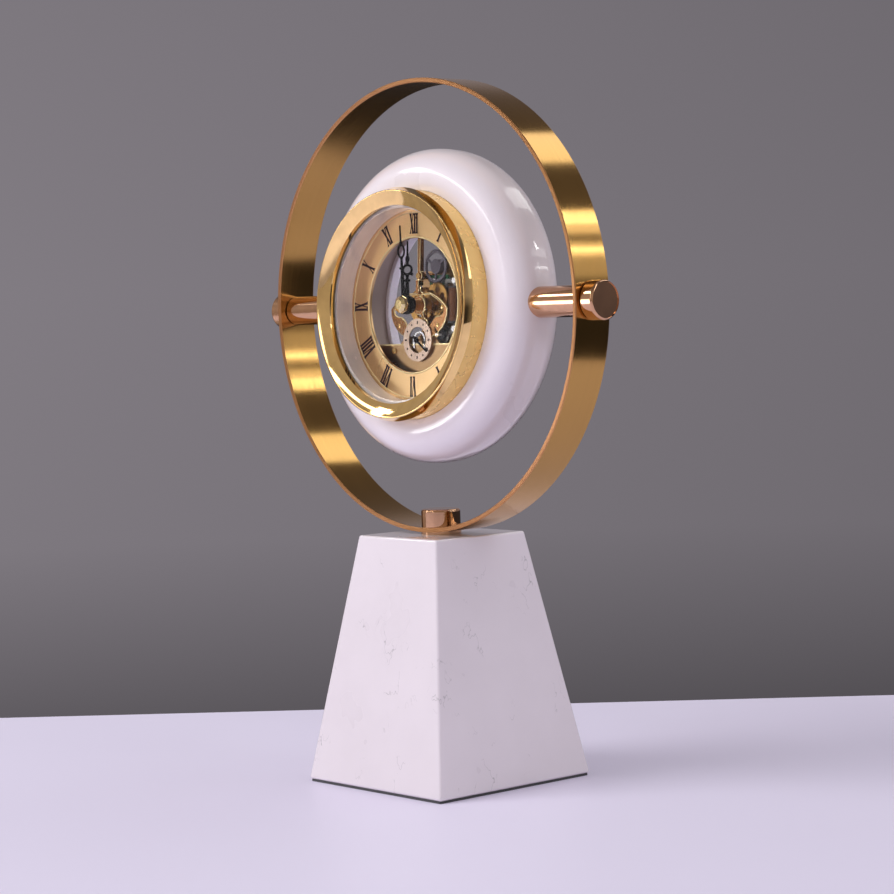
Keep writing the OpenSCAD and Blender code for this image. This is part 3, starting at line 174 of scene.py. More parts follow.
def put_mesh(name, points, faces, finish, body, angle=40.0):
    """A piece from points and faces, smooth but for edges sharper than the angle, on its body.
    The points of the head and its movement are given upright and leaned here."""
    mesh = bpy.data.meshes.new(name)
    if body != "stand" and not body.startswith("knob"):
        points = hung(points)
    mesh.from_pydata(points.tolist(), [], faces)
    mesh.polygons.foreach_set("use_smooth", np.ones(len(mesh.polygons), bool))
    mesh.set_sharp_from_angle(angle=np.radians(angle))
    mesh.materials.append(finish)
    mesh.validate()
    piece = bpy.data.objects.new(name, mesh)
    bpy.context.scene.collection.objects.link(piece)
    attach(piece, body)
    return piece


def skin(name, grids, finish, body, angle=40.0, closed=False):
    """One piece from grids of rows by section points: each row is a closed section, neighbouring
    rows are joined by quads, and the first and last row are closed by their own outline, or
    joined to each other. A grid whose volume, the sum of its corners' triple products, comes out
    negative is turned round."""
    points, faces, start = [], [], 0
    for grid in grids:
        rows, round_ = grid.shape[:2]
        i, j = np.meshgrid(np.arange(rows if closed else rows - 1), np.arange(round_),
                           indexing="ij")
        next_j, next_i = (j + 1) % round_, (i + 1) % rows
        quads = np.stack([i * round_ + j, i * round_ + next_j, next_i * round_ + next_j,
                          next_i * round_ + j], -1).reshape(-1, 4)
        flat = grid.reshape(-1, 3)
        centred = flat - flat.mean(0)
        a, b, c, d = (centred[quads[:, corner]] for corner in range(4))
        caps = [] if closed else [np.arange(round_)[::-1],
                                  (rows - 1) * round_ + np.arange(round_)]
        volume = (np.einsum("ij,ij->i", a, np.cross(b, c)).sum()
                  + np.einsum("ij,ij->i", a, np.cross(c, d)).sum())
        for cap in caps:
            ring = centred[cap]
            volume += np.einsum("ij,ij->i", np.broadcast_to(ring[0], ring[1:-1].shape),
                                np.cross(ring[1:-1], ring[2:])).sum()
        step = -1 if volume < 0 else 1
        faces += (quads[:, ::step] + start).tolist()
        faces += [(cap[::step] + start).tolist() for cap in caps]
        points.append(flat)
        start += len(flat)
    return put_mesh(name, np.concatenate(points), faces, finish, body, angle)


def carried(path, across, up, half_across, half_up):
    """A section of four corners carried along a path: each point is the path's point plus the
    corner's cosine times the half diagonal across and its sine times the half diagonal up."""
    angle = np.pi / 4 + np.pi / 2 * np.arange(4)
    path = np.asarray(path, float)
    wide = np.broadcast_to(np.asarray(half_across, float), len(path))
    tall = np.broadcast_to(np.asarray(half_up, float), len(path))
    across = np.broadcast_to(np.asarray(across, float), path.shape)
    up = np.broadcast_to(np.asarray(up, float), path.shape)
    side = np.cos(angle)[None, :, None] * (wide[:, None, None] * across[:, None, :])
    rise = np.sin(angle)[None, :, None] * (tall[:, None, None] * up[:, None, :])
    return path[:, None, :] + side + rise


def swept(profile, around):
    """Radii and depths swept once round Y: X is the radius times the angle's cosine, Z is the
    radius times its sine, and Y is the depth. There is a row for each angle."""
    angle = 2 * np.pi * np.arange(around)[:, None] / around
    radius, depth = np.asarray(profile, float).T
    deep = np.broadcast_to(depth, (around, len(depth)))
    return np.stack([radius * np.cos(angle), deep, radius * np.sin(angle)], -1)


def turned(place, profile, around=32):
    """A turned shape at a place, with a row for each point of its profile, capped at both ends."""
    return swept(profile, around).transpose(1, 0, 2) + place


def hoop(profile, around=240):
    """A closed section of radius and depth, swept once round the dial's axis."""
    return swept(profile, around) + HEAD


def on_dial(right, outward, clockwise, radius, front):
    """Points of a numeral: right and outward lengths, turned clockwise about the dial's axis."""
    turn = np.radians(clockwise)
    x = (radius + outward) * np.sin(turn) + right * np.cos(turn)
    v = (radius + outward) * np.cos(turn) - right * np.sin(turn)
    return np.stack([x, np.full_like(x, front), v + AXIS_Z], -1)


# Finishes

def feed(tree, socket, value):
    """Links another node's output to an input, or sets a plain value on it."""
    if isinstance(value, bpy.types.NodeSocket):
        tree.links.new(value, socket)
    else:
        socket.default_value = value


def fill(tree, node, **inputs):
    """Feeds the named inputs of a node."""
    for key, value in inputs.items():
        feed(tree, node.inputs[key.replace("_", " ")], value)


def put(tree, kind, options=None, **inputs):
    """One node of a finish, with its options set and its inputs fed."""
    node = tree.nodes.new(kind)
    for key, value in (options or {}).items():
        setattr(node, key, value)
    fill(tree, node, **inputs)
    return node


def opaque(colour, share=1.0):
    """A colour times a share, with full alpha."""
    return tuple(min(1.0, c * share) for c in colour) + (1.0,)


def begin(name):
    """A new finish, its node tree and its shader."""
    finish = bpy.data.materials.new(name)
    finish.use_nodes = True
    tree = finish.node_tree
    shader = tree.nodes["Principled BSDF"]
    return finish, tree, shader


def upright(tree):
    """Object coordinates with the head set upright and its pivots as the origin."""
    place = put(tree, "ShaderNodeTexCoord").outputs["Object"]
    turned_back = put(tree, "ShaderNodeVectorRotate", {"rotation_type": "X_AXIS"}, Vector=place,
                      Center=tuple(HEAD), Angle=float(LEAN))
    return put(tree, "ShaderNodeMapping", Vector=turned_back.outputs["Vector"],
               Location=tuple(-HEAD)).outputs["Vector"]


def from_axis(tree):
    """Distance from the dial's axis, in metres."""
    flat = put(tree, "ShaderNodeMapping", Vector=upright(tree), Scale=(1.0, 0.0, 1.0))
    return put(tree, "ShaderNodeVectorMath", {"operation": "LENGTH"},
               Vector=flat.outputs["Vector"]).outputs["Value"]


def grain(tree, stretch, detail=3.0, rough=0.55, shift=(0, 0, 0)):
    """Noise on the head's own coordinates, with so many waves a metre along each axis."""
    laid = put(tree, "ShaderNodeMapping", Vector=upright(tree), Location=shift, Scale=stretch)
    noise = put(tree, "ShaderNodeTexNoise", Vector=laid.outputs["Vector"], Scale=1.0,
                Detail=detail, Roughness=rough)
    return noise.outputs["Fac"]


def ramp(tree, factor, dark, light, start=0.35, end=0.65):
    """Runs between two colours as the factor goes from start to end."""
    node = put(tree, "ShaderNodeValToRGB", Fac=factor)
    node.color_ramp.elements[0].position = start
    node.color_ramp.elements[1].position = end
    node.color_ramp.elements[0].color = dark
    node.color_ramp.elements[1].color = light
    return node.outputs["Color"]


def between(tree, factor, least, most, start=0.3, end=0.7):
    """A number that runs from least to most as the factor goes from start to end."""
    return put(tree, "ShaderNodeMapRange", {"clamp": True}, Value=factor, From_Min=start,
               From_Max=end, To_Min=least, To_Max=most).outputs["Result"]


def blend(tree, factor, first, second):
    """A colour that runs from the first to the second as the factor goes from 0 to 1. The mix
    node has its colours at the inputs 6 and 7, and its mixed colour at the output 2."""
    node = put(tree, "ShaderNodeMix", {"data_type": "RGBA"})
    for index, value in ((0, factor), (6, first), (7, second)):
        feed(tree, node.inputs[index], value)
    return node.outputs[2]


def calc(tree, operation, first, second=0.0):
    """The result of an operation on one or two numbers."""
    node = put(tree, "ShaderNodeMath", {"operation": operation})
    feed(tree, node.inputs[0], first)
    feed(tree, node.inputs[1], second)
    return node.outputs[0]


def times(tree, first, second):
    """The product of two numbers."""
    return calc(tree, "MULTIPLY", first, second)


def relief(tree, height, depth, strength):
    """A bump of that depth in metres, at that strength."""
    return put(tree, "ShaderNodeBump", Height=height, Distance=depth,
               Strength=strength).outputs["Normal"]


def polished(name, colour, least=0.05, most=0.14, wave=10 * MICRON, spread=160.0, metal=1.0):
    """Polished plating: wiped marks in the roughness, which runs from least to most, slow waves
    of that depth and so many a metre that bend the reflections, and a slightly deeper tone
    where the plating is thick. Less metal shows more of its own colour."""
    finish, tree, shader = begin(name)
    slow = grain(tree, (spread, spread, spread), 2.0)
    fine = grain(tree, (2600.0, 900.0, 2600.0), 4.0, 0.7)
    fill(tree, shader, Metallic=metal,
         Base_Color=ramp(tree, slow, opaque(colour, 0.92), opaque(colour, 1.04)),
         Roughness=between(tree, fine, least, most), Normal=relief(tree, slow, wave, 0.6))
    return finish


def satin(name, colour, stretch, least=0.24, most=0.38, depth=4 * MICRON, contrast=0.12,
          metal=1.0):
    """Satin metal: fine lines along the axis with the fewest waves, in relief of that depth and
    in tone by that contrast, and clouds in the roughness, which runs from least to most. Less
    metal shows more of its own colour."""
    finish, tree, shader = begin(name)
    lines = grain(tree, stretch, 4.0, 0.65)
    cloud = grain(tree, (70.0, 70.0, 70.0), 3.0)
    dark, light = opaque(colour, 1 - contrast), opaque(colour, 1 + contrast / 2)
    fill(tree, shader, Metallic=metal, Base_Color=ramp(tree, lines, dark, light),
         Roughness=between(tree, cloud, least, most), Normal=relief(tree, lines, depth, 0.5))
    return finish


def brushed_ring(name, colour, edge):
    """The ring's strip: hair lines that run round it, so that they change only from front to
    back. The gloss is drawn out from front to back, and the cut edges are tinted copper."""
    finish, tree, shader = begin(name)
    place = put(tree, "ShaderNodeTexCoord").outputs["Object"]
    lines = grain(tree, (2.0, 9000.0, 2.0), 2.0, 0.5)
    broad = grain(tree, (9.0, 900.0, 9.0), 3.0, 0.6, (3.0, 1.0, 2.0))
    part = put(tree, "ShaderNodeSeparateXYZ", Vector=place)
    deep = calc(tree, "ABSOLUTE", part.outputs["Y"])
    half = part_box("ring_band")[1][1]
    rim = between(tree, deep, 0.0, 1.0, half - 0.45 * MM, half - 0.3 * MM)
    tone = ramp(tree, lines, opaque(colour, 0.93), opaque(colour, 1.05))
    around = put(tree, "ShaderNodeTangent", {"direction_type": "RADIAL", "axis": "Y"})
    fill(tree, shader, Metallic=1.0, Base_Color=blend(tree, rim, tone, opaque(edge)),
         Anisotropic=0.8, Anisotropic_Rotation=0.25,
         Roughness=times(tree, between(tree, rim, 1.0, 2.6, 0.0, 1.0),
                         between(tree, broad, 0.16, 0.2)),
         Tangent=around.outputs["Tangent"], Normal=relief(tree, lines, 0.6 * MICRON, 0.4))
    return finish


def lacquer(name, colour, worn):
    """White lacquer under a clear coat: a faint orange peel, clouding in the white and, where it
    is worn, short hairline scuffs. A scuff runs where the bent noise is near its middle value,
    within a patch."""
    finish, tree, shader = begin(name)
    cloud = grain(tree, (26.0, 26.0, 26.0), 3.0)
    peel = grain(tree, (420.0, 420.0, 420.0), 2.0)
    tone = ramp(tree, cloud, opaque(colour, 0.97), opaque(colour, 1.01))
    if worn:
        bent = grain(tree, (95.0, 95.0, 60.0), 3.0, 0.6, (0.7, 0.2, 0.5))
        patch = grain(tree, (70.0, 70.0, 45.0), 2.0, 0.5, (1.3, 0.4, 2.1))
        from_middle = calc(tree, "ABSOLUTE", calc(tree, "SUBTRACT", bent, 0.5))
        thin = times(tree, between(tree, from_middle, 1.0, 0.0, 0.0, 0.009),
                     between(tree, patch, 0.0, 0.8, 0.57, 0.66))
        tone = blend(tree, thin, tone, opaque(colour, 0.5))
    fill(tree, shader, Base_Color=tone, Roughness=between(tree, cloud, 0.26, 0.36),
         Coat_Weight=1.0, Coat_Roughness=0.04, Coat_IOR=1.5,
         Normal=relief(tree, peel, 10 * MICRON, 0.12))
    return finish


def moulded(name, colour, least=0.35, most=0.5, waves=2400.0, depth=10 * MICRON, level=0.5):
    """Moulded or painted surface with a fine spark-eroded grain of so many waves a metre, clouds
    in the roughness, which runs from least to most, and that level of gloss."""
    finish, tree, shader = begin(name)
    fine = grain(tree, (waves, waves, waves), 4.0, 0.6)
    cloud = grain(tree, (120.0, 120.0, 120.0), 2.0)
    fill(tree, shader, Specular_IOR_Level=level,
         Base_Color=ramp(tree, fine, opaque(colour, 0.88), opaque(colour, 1.08)),
         Roughness=between(tree, cloud, least, most), Normal=relief(tree, fine, depth, 0.5))
    return finish


def felted(name, colour):
    """Pressed felt: short fibres in all directions, with a soft sheen."""
    finish, tree, shader = begin(name)
    fibres = grain(tree, (5200.0, 1300.0, 5200.0), 6.0, 0.8)
    fill(tree, shader, Roughness=0.95, Sheen_Weight=0.5, Sheen_Roughness=0.5,
         Base_Color=ramp(tree, fibres, opaque(colour, 0.6), opaque(colour, 1.5)),
         Normal=relief(tree, fibres, 200 * MICRON, 0.8))
    return finish


def clear_glass(name):
    """Clear glass: mostly see-through, with the faintest dust in its gloss."""
    finish, tree, shader = begin(name)
    dust = grain(tree, (900.0, 900.0, 900.0), 3.0)
    fill(tree, shader, Base_Color=(0.05, 0.05, 0.05, 1.0), Alpha=0.06, IOR=1.5,
         Roughness=between(tree, dust, 0.0, 0.06))
    finish.surface_render_method = "BLENDED"
    return finish


def case_gold(name, colour, inside):
    """The case: satin gold with lines round it outside, and a dull bore inside."""
    finish, tree, shader = begin(name)
    lines = grain(tree, (30.0, 3200.0, 30.0), 3.0, 0.6)
    cloud = grain(tree, (70.0, 70.0, 70.0), 3.0)
    all_bore, all_gold = LIP_RADIUS - 0.2 * MM, LIP_RADIUS + 0.2 * MM
    bore = between(tree, from_axis(tree), 1.0, 0.0, all_bore, all_gold)
    tone = ramp(tree, lines, opaque(colour, 0.97), opaque(colour, 1.02), 0.2, 0.8)
    fill(tree, shader, Metallic=between(tree, bore, 0.6, 0.2, 0.0, 1.0),
         Base_Color=blend(tree, bore, tone, opaque(inside)),
         Roughness=times(tree, between(tree, bore, 1.0, 1.7, 0.0, 1.0),
                         between(tree, cloud, 0.22, 0.32)),
         Normal=relief(tree, lines, 0.1 * MICRON, 0.3))
    return finish


def wound(name, colour):
    """Fine enamelled wire, wound round the upright axis: one turn for each band along Z."""
    finish, tree, shader = begin(name)
    place = put(tree, "ShaderNodeTexCoord").outputs["Object"]
    turns = put(tree, "ShaderNodeTexWave", {"wave_type": "BANDS", "bands_direction": "Z"},
                Vector=place, Scale=1300.0, Distortion=0.6, Detail=1.0, Detail_Scale=200.0)
    fill(tree, shader, Metallic=0.8, Roughness=0.3,
         Base_Color=ramp(tree, turns.outputs["Fac"], opaque(colour, 0.45), opaque(colour, 1.1),
                         0.1, 0.8),
         Normal=relief(tree, turns.outputs["Fac"], 60 * MICRON, 0.8))
    return finish


def dressed(node, finish):
    """Gives a node of the frame its finish."""
    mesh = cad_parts[node].data
    mesh.materials.clear()
    mesh.materials.append(finish)


def with_cut_edges(node, cut, body, width, sharp=35.0):
    """A node's shape with cut edges, in the node's place: its triangles are joined where their
    corners agree to a micrometre, and edges of a sharper angle are cut at a slant to that
    width, in a finish of their own."""
    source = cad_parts[node].data
    points = np.empty(len(source.vertices) * 3)
    source.vertices.foreach_get("co", points)
    corners = np.empty(len(source.loops), int)
    source.loops.foreach_get("vertex_index", corners)
    places, index = np.unique(points.reshape(-1, 3).round(6), axis=0, return_inverse=True)
    faces = index.reshape(-1)[corners].reshape(-1, 3)
    whole = (faces != np.roll(faces, 1, axis=1)).all(1)
    piece = put_mesh(node + "_cut", hung(places, -LEAN), faces[whole].tolist(),
                     source.materials[0], body, sharp)
    piece.data.materials.append(cut)
    edges = piece.modifiers.new("cut", "BEVEL")
    edges.limit_method, edges.angle_limit, edges.width = "ANGLE", np.radians(sharp), width
    edges.segments, edges.material, edges.use_clamp_overlap = 1, 1, False
    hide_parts(node)


# Stage: the camera that the photograph gives, the two ends of the table's far edge in its view,
# and the place on the ring's left that mirrors the high spot
PHOTO_PIXELS = 894
FOCAL_PIXELS = 2593.2
SENSOR = 36.0
CAMERA_PLACE = np.array([0.86618729, -0.75839647, 0.2072])
VIEW_RIGHT = np.array([0.66206298, 0.74875215, -0.03229298])
VIEW_UP = np.array([-0.01697608, 0.05806071, 0.99816871])
VIEW_AHEAD = np.array([-0.74925592, 0.66030234, -0.05115072])
TABLE_LEFT = np.array([-324.79, -32.46, 0.0]) * MM
TABLE_RIGHT = np.array([3.62, 308.83, 0.0]) * MM
RING_SPOT = np.array([-91.0, 6.0, 176.5]) * MM


def add(piece):
    """Links a stage object to the scene."""
    bpy.context.scene.collection.objects.link(piece)
    return piece


def lamp(name, start, toward, distance, wide, tall, glow, along=(0.0, 0.0, 0.0), shift=0.0,
         mirrored_too=True, lights_too=True):
    """A soft rectangular lamp in that direction from a start, facing it. Its width runs along a
    given line, or level. Its power is its glow times its area and pi, and the shift moves it
    along its width. A lamp that isn't mirrored lights things but shows in no reflection, and
    a card that lights nothing is only seen in the gloss."""
    toward = np.array(toward, float)
    toward /= np.linalg.norm(toward)
    side = np.array(along, float)
    if not side.any():
        side = np.cross([0, 0, 1.0], toward)
    side -= toward * (side @ toward)
    side /= np.linalg.norm(side)
    data = bpy.data.lights.new(name, "AREA")
    data.shape, data.size, data.size_y = "RECTANGLE", wide, tall
    data.energy = float(glow * np.pi * wide * tall)
    lit = add(bpy.data.objects.new(name, data))
    lit.visible_glossy = mirrored_too
    lit.visible_diffuse = lights_too
    place = np.eye(4)
    place[:3, 0], place[:3, 1], place[:3, 2] = side, np.cross(toward, side), toward
    place[:3, 3] = np.array(start) + toward * distance + side * shift
    lit.matrix_world = Matrix(place.tolist())
    return lit


def mirrored(height):
    """Where the ring sends the camera's view at that height angle: its outside faces the
    angle's cosine and sine, and the view is turned over about that. Gives also the line along
    which the hair lines spread it, the change of that direction as the face tips to the front."""
    face = np.array([np.cos(np.radians(height)), 0.0, np.sin(np.radians(height))])
    sent = VIEW_AHEAD - 2 * (VIEW_AHEAD @ face) * face
    spread = VIEW_AHEAD[1] * face + (VIEW_AHEAD @ face) * np.array([0, 1.0, 0])
    return face, sent, spread


def set_camera():
    """The camera at the photograph's place, with its turn as three columns."""
    data = bpy.data.cameras.new("camera")
    data.sensor_width, data.lens = SENSOR, FOCAL_PIXELS * SENSOR / PHOTO_PIXELS
    camera = add(bpy.data.objects.new("camera", data))
    place = np.eye(4)
    place[:3, 0], place[:3, 1], place[:3, 2] = VIEW_RIGHT, VIEW_UP, -VIEW_AHEAD
    place[:3, 3] = CAMERA_PLACE
    camera.matrix_world = Matrix(place.tolist())
    bpy.context.scene.camera = camera


def lay_table():
    """A pale table that ends along the line between two points behind the clock."""
    past_left, past_right, deep, thick = 3.0, 0.33, 4.0, 30 * MM
    along = (TABLE_RIGHT - TABLE_LEFT) / np.linalg.norm(TABLE_RIGHT - TABLE_LEFT)
    front = deep * np.cross(along, [0, 0, 1.0])
    far_left, far_right = TABLE_LEFT - past_left * along, TABLE_RIGHT + past_right * along
    corners = [far_left, far_left + front, far_right + front, far_right]
    points = np.array(corners + [c - [0, 0, thick] for c in corners])
    mesh = bpy.data.meshes.new("table")
    mesh.from_pydata(points.tolist(), [], [[0, 1, 2, 3], [7, 6, 5, 4], [0, 4, 5, 1],
                                          [1, 5, 6, 2], [2, 6, 7, 3], [3, 7, 4, 0]])
    finish, tree, shader = begin("table_top")
    soft = grain(tree, (3.0, 3.0, 3.0), 2.0)
    tone = colours().floor
    fill(tree, shader, Roughness=0.5,
         Base_Color=ramp(tree, soft, opaque(tone, 0.98), opaque(tone)))
    mesh.materials.append(finish)
    add(bpy.data.objects.new("table", mesh))


def sky(tree, height, least, most, stops, strength=1.0):
    """A background with a colour at each stop, a share of the way from the least height of the
    direction to the most. A colour ramp starts with two stops, and the rest are added."""
    seen = put(tree, "ShaderNodeValToRGB", Fac=between(tree, height, 0.0, 1.0, least, most))
    steps = seen.color_ramp.elements
    steps[0].position, steps[1].position = stops[0][0], stops[1][0]
    steps[0].color, steps[1].color = stops[0][1], stops[1][1]
    for position, shown_colour in stops[2:]:
        steps.new(position).color = shown_colour
    return put(tree, "ShaderNodeBackground", Color=seen.outputs["Color"],
               Strength=strength).outputs[0]


def either(tree, factor, first, second):
    """The first background, or the second where the factor is 1."""
    node = put(tree, "ShaderNodeMixShader", Fac=factor)
    feed(tree, node.inputs[1], first)
    feed(tree, node.inputs[2], second)
    return node.outputs[0]


def light_world():
    """The backdrop as the camera and the glass see it, what the metal mirrors from behind and
    from before the clock, and a plain ambient light on everything else."""
    world = bpy.data.worlds.new("studio")
    bpy.context.scene.world = world
    world.use_nodes = True
    tree = world.node_tree
    tree.nodes.clear()
    toward = put(tree, "ShaderNodeTexCoord").outputs["Generated"]
    parts = put(tree, "ShaderNodeSeparateXYZ", Vector=toward).outputs
    height, behind = parts["Z"], between(tree, parts["Y"], 0.0, 1.0, -0.15, 0.2)
    sideways = put(tree, "ShaderNodeVectorMath", {"operation": "DOT_PRODUCT"})
    feed(tree, sideways.inputs[0], toward)
    feed(tree, sideways.inputs[1], tuple(VIEW_RIGHT))
    fall = between(tree, sideways.outputs["Value"], 1.1, 0.86, -0.17, 0.17)

    def greys(*pairs):
        """A stop for each position and share of the backdrop's colour."""
        return [(position, opaque(colours().backdrop, share)) for position, share in pairs]

    shown = sky(tree, height, -0.3, 0.3,
                greys((0.24, 0.5), (0.36, 1.0), (0.52, 1.06), (1.0, 0.9)), fall)
    glossed = sky(tree, height, -0.2, 1.0,
                  greys((0.0, 0.15), (0.12, 0.2), (0.18, 0.75), (0.26, 1.45),
                        (0.5, 1.4), (0.62, 0.7), (0.8, 0.5), (1.0, 1.6)))
    before = sky(tree, height, -0.6, 1.0,
                 ((0.0, (0.42, 0.37, 0.34, 1.0)), (0.3, (0.34, 0.29, 0.26, 1.0)),
                  (0.5, (0.45, 0.4, 0.37, 1.0)), (0.75, (0.33, 0.29, 0.26, 1.0)),
                  (0.9, (0.15, 0.13, 0.12, 1.0)), (1.0, (0.2, 0.18, 0.17, 1.0))))
    ambient = put(tree, "ShaderNodeBackground", Color=(0.93, 0.9, 0.95, 1.0),
                  Strength=0.5).outputs[0]
    path = put(tree, "ShaderNodeLightPath").outputs
    plain = calc(tree, "MAXIMUM", path["Is Camera Ray"], path["Is Transmission Ray"])
    mirror = either(tree, behind, before, glossed)
    lit = either(tree, path["Is Glossy Ray"], ambient, mirror)
    put(tree, "ShaderNodeOutputWorld", Surface=either(tree, plain, lit, shown))


def hang_lamps():
    """Soft lamps that light the clock, cards that it mirrors, and strips that the ring mirrors
    at given heights. Each has its start, direction, distance, width, height and glow."""
    lamp("key", HEAD, (-0.55, -1.0, 0.85), 1.6, 0.9, 0.9, 5.7, mirrored_too=False)
    lamp("fill", HEAD, (0.61, 0.11, 0.79), 1.6, 0.5, 0.5, 2.0, mirrored_too=False)
    lamp("side_fill", HEAD, (0.75, -0.6, 0.25), 1.6, 0.5, 0.5, 1.6, mirrored_too=False)
    lamp("window", HEAD, (0.72, 0.03, 0.7), 1.8, 0.34, 1.5, 2.2, lights_too=False)
    card = lamp("dial_card", HEAD, (-0.7, -0.7, -0.08), 0.34, 0.12, 0.14, 0.12, shift=0.05)
    card.data.spread = np.radians(22.0)
    low = lamp("wall_fill", HEAD, (0.5, -0.86, 0.05), 0.45, 0.04, 0.04, 1.3, mirrored_too=False)
    low.data.spread = np.radians(12.0)
    lamp("arc_level", HEAD, (-0.494, -0.683, 0.538), 1.5, 1.36, 0.1, 5.0,
         along=(0.68, -0.475, 0.02))
    lamp("white_patch", HEAD, (-0.71, -0.49, 0.51), 1.5, 0.2, 0.26, 6.0, lights_too=False)
    lamp("arc_down", HEAD, (-0.015, -0.943, 0.311), 1.5, 0.69, 0.09, 3.0,
         along=(0.19, -0.13, -0.39))
    lamp("spot_high", RING_SPOT, (0.601, 0.624, 0.498), 1.5, 0.07, 0.12, 14.0, lights_too=False)
    lamp("spot_low", HEAD, (0.707, 0.628, 0.325), 1.5, 0.05, 0.14, 7.0, lights_too=False)
    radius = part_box("ring_band")[1][0]
    away, wide = 1.5, 1.1
    for name, angle, seen_deg, glow in (("line_strip", 14.7, 0.7, 5.0),
                                        ("tan_strip", 11.0, 5.0, 0.5),
                                        ("side_strip", 20.5, 2.6, 1.5),
                                        ("top_strip", 43.7, 7.0, 1.9)):
        face, sent, spread = mirrored(angle)
        lamp(name, HEAD + radius * face, sent, away, wide, 2 * away * np.radians(seen_deg), glow,
             along=spread)


class CLOCK_OT_stage(bpy.types.Operator):
    """Camera, table, backdrop and soft studio lamps"""
    bl_idname = "clock.stage"
    bl_label = "Stage"

    def execute(self, context):
        set_camera()
        lay_table()
        light_world()
        hang_lamps()
        context.scene.view_settings.view_transform = "Standard"
        return {"FINISHED"}


class CLOCK_OT_stand_finish(bpy.types.Operator):
    """Lacquer, felt, ring and fastenings of the stand"""
    bl_idname = "clock.stand_finish"
    bl_label = "Stand finishes"

    def execute(self, context):
        tones = colours()
        dressed("base_block", lacquer("block_lacquer", tones.lacquer, True))
        dressed("base_pad", felted("grey_felt", (0.03, 0.03, 0.033)))
        dressed("ring_band", brushed_ring("brushed_ring", tones.ring, tones.edge))
        rose = polished("rose_gold", tones.rose)
        for node in ("saddle_washer", "ring_cap_nut", "rod_right", "rod_left",
                     "knob_right", "knob_left"):
            dressed(node, rose)
        steel = satin("bright_steel", (0.72, 0.72, 0.74), (900.0, 900.0, 300.0), 0.2, 0.34)
        for node in ("ring_stud", "base_washer", "base_nut"):
            dressed(node, steel)
        return {"FINISHED"}


class CLOCK_OT_case_finish(bpy.types.Operator):
    """Lacquered shell, gold case, glass, wall and dial"""
    bl_idname = "clock.case_finish"
    bl_label = "Case finishes"

    def execute(self, context):
        tones = colours()
        dressed("head_shell", lacquer("shell_lacquer", tones.lacquer, False))
        dressed("side_inserts", satin("turned_brass", tones.brass, (300.0, 2200.0, 2200.0)))
        dressed("case_band", case_gold("satin_gold", tones.band, tones.bore))
        dressed("bezel_ring", polished("polished_gold", tones.bezel, 0.03, 0.09))
        dressed("lens", clear_glass("clear_glass"))
        dressed("lens_gasket", moulded("black_rubber", (0.012, 0.012, 0.012), 0.6, 0.8))
        dressed("wall_ring", satin("satin_wall", tones.wall, (40.0, 900.0, 40.0), 0.2, 0.28,
                                   depth=MICRON, contrast=0.06, metal=0.3))
        dressed("dial_ring", satin("satin_dial", tones.dial, (1900.0, 1900.0, 60.0), 0.26, 0.36,
                                   depth=2 * MICRON, contrast=0.07))
        dressed("rear_ring", moulded("white_plastic", tones.rear, 0.25, 0.4))
        dressed("rear_ring_screws", bpy.data.materials["bright_steel"])
        dressed("small_dial", satin("pale_dial", (0.66, 0.5, 0.4), (1500.0, 1500.0, 60.0)))
        return {"FINISHED"}


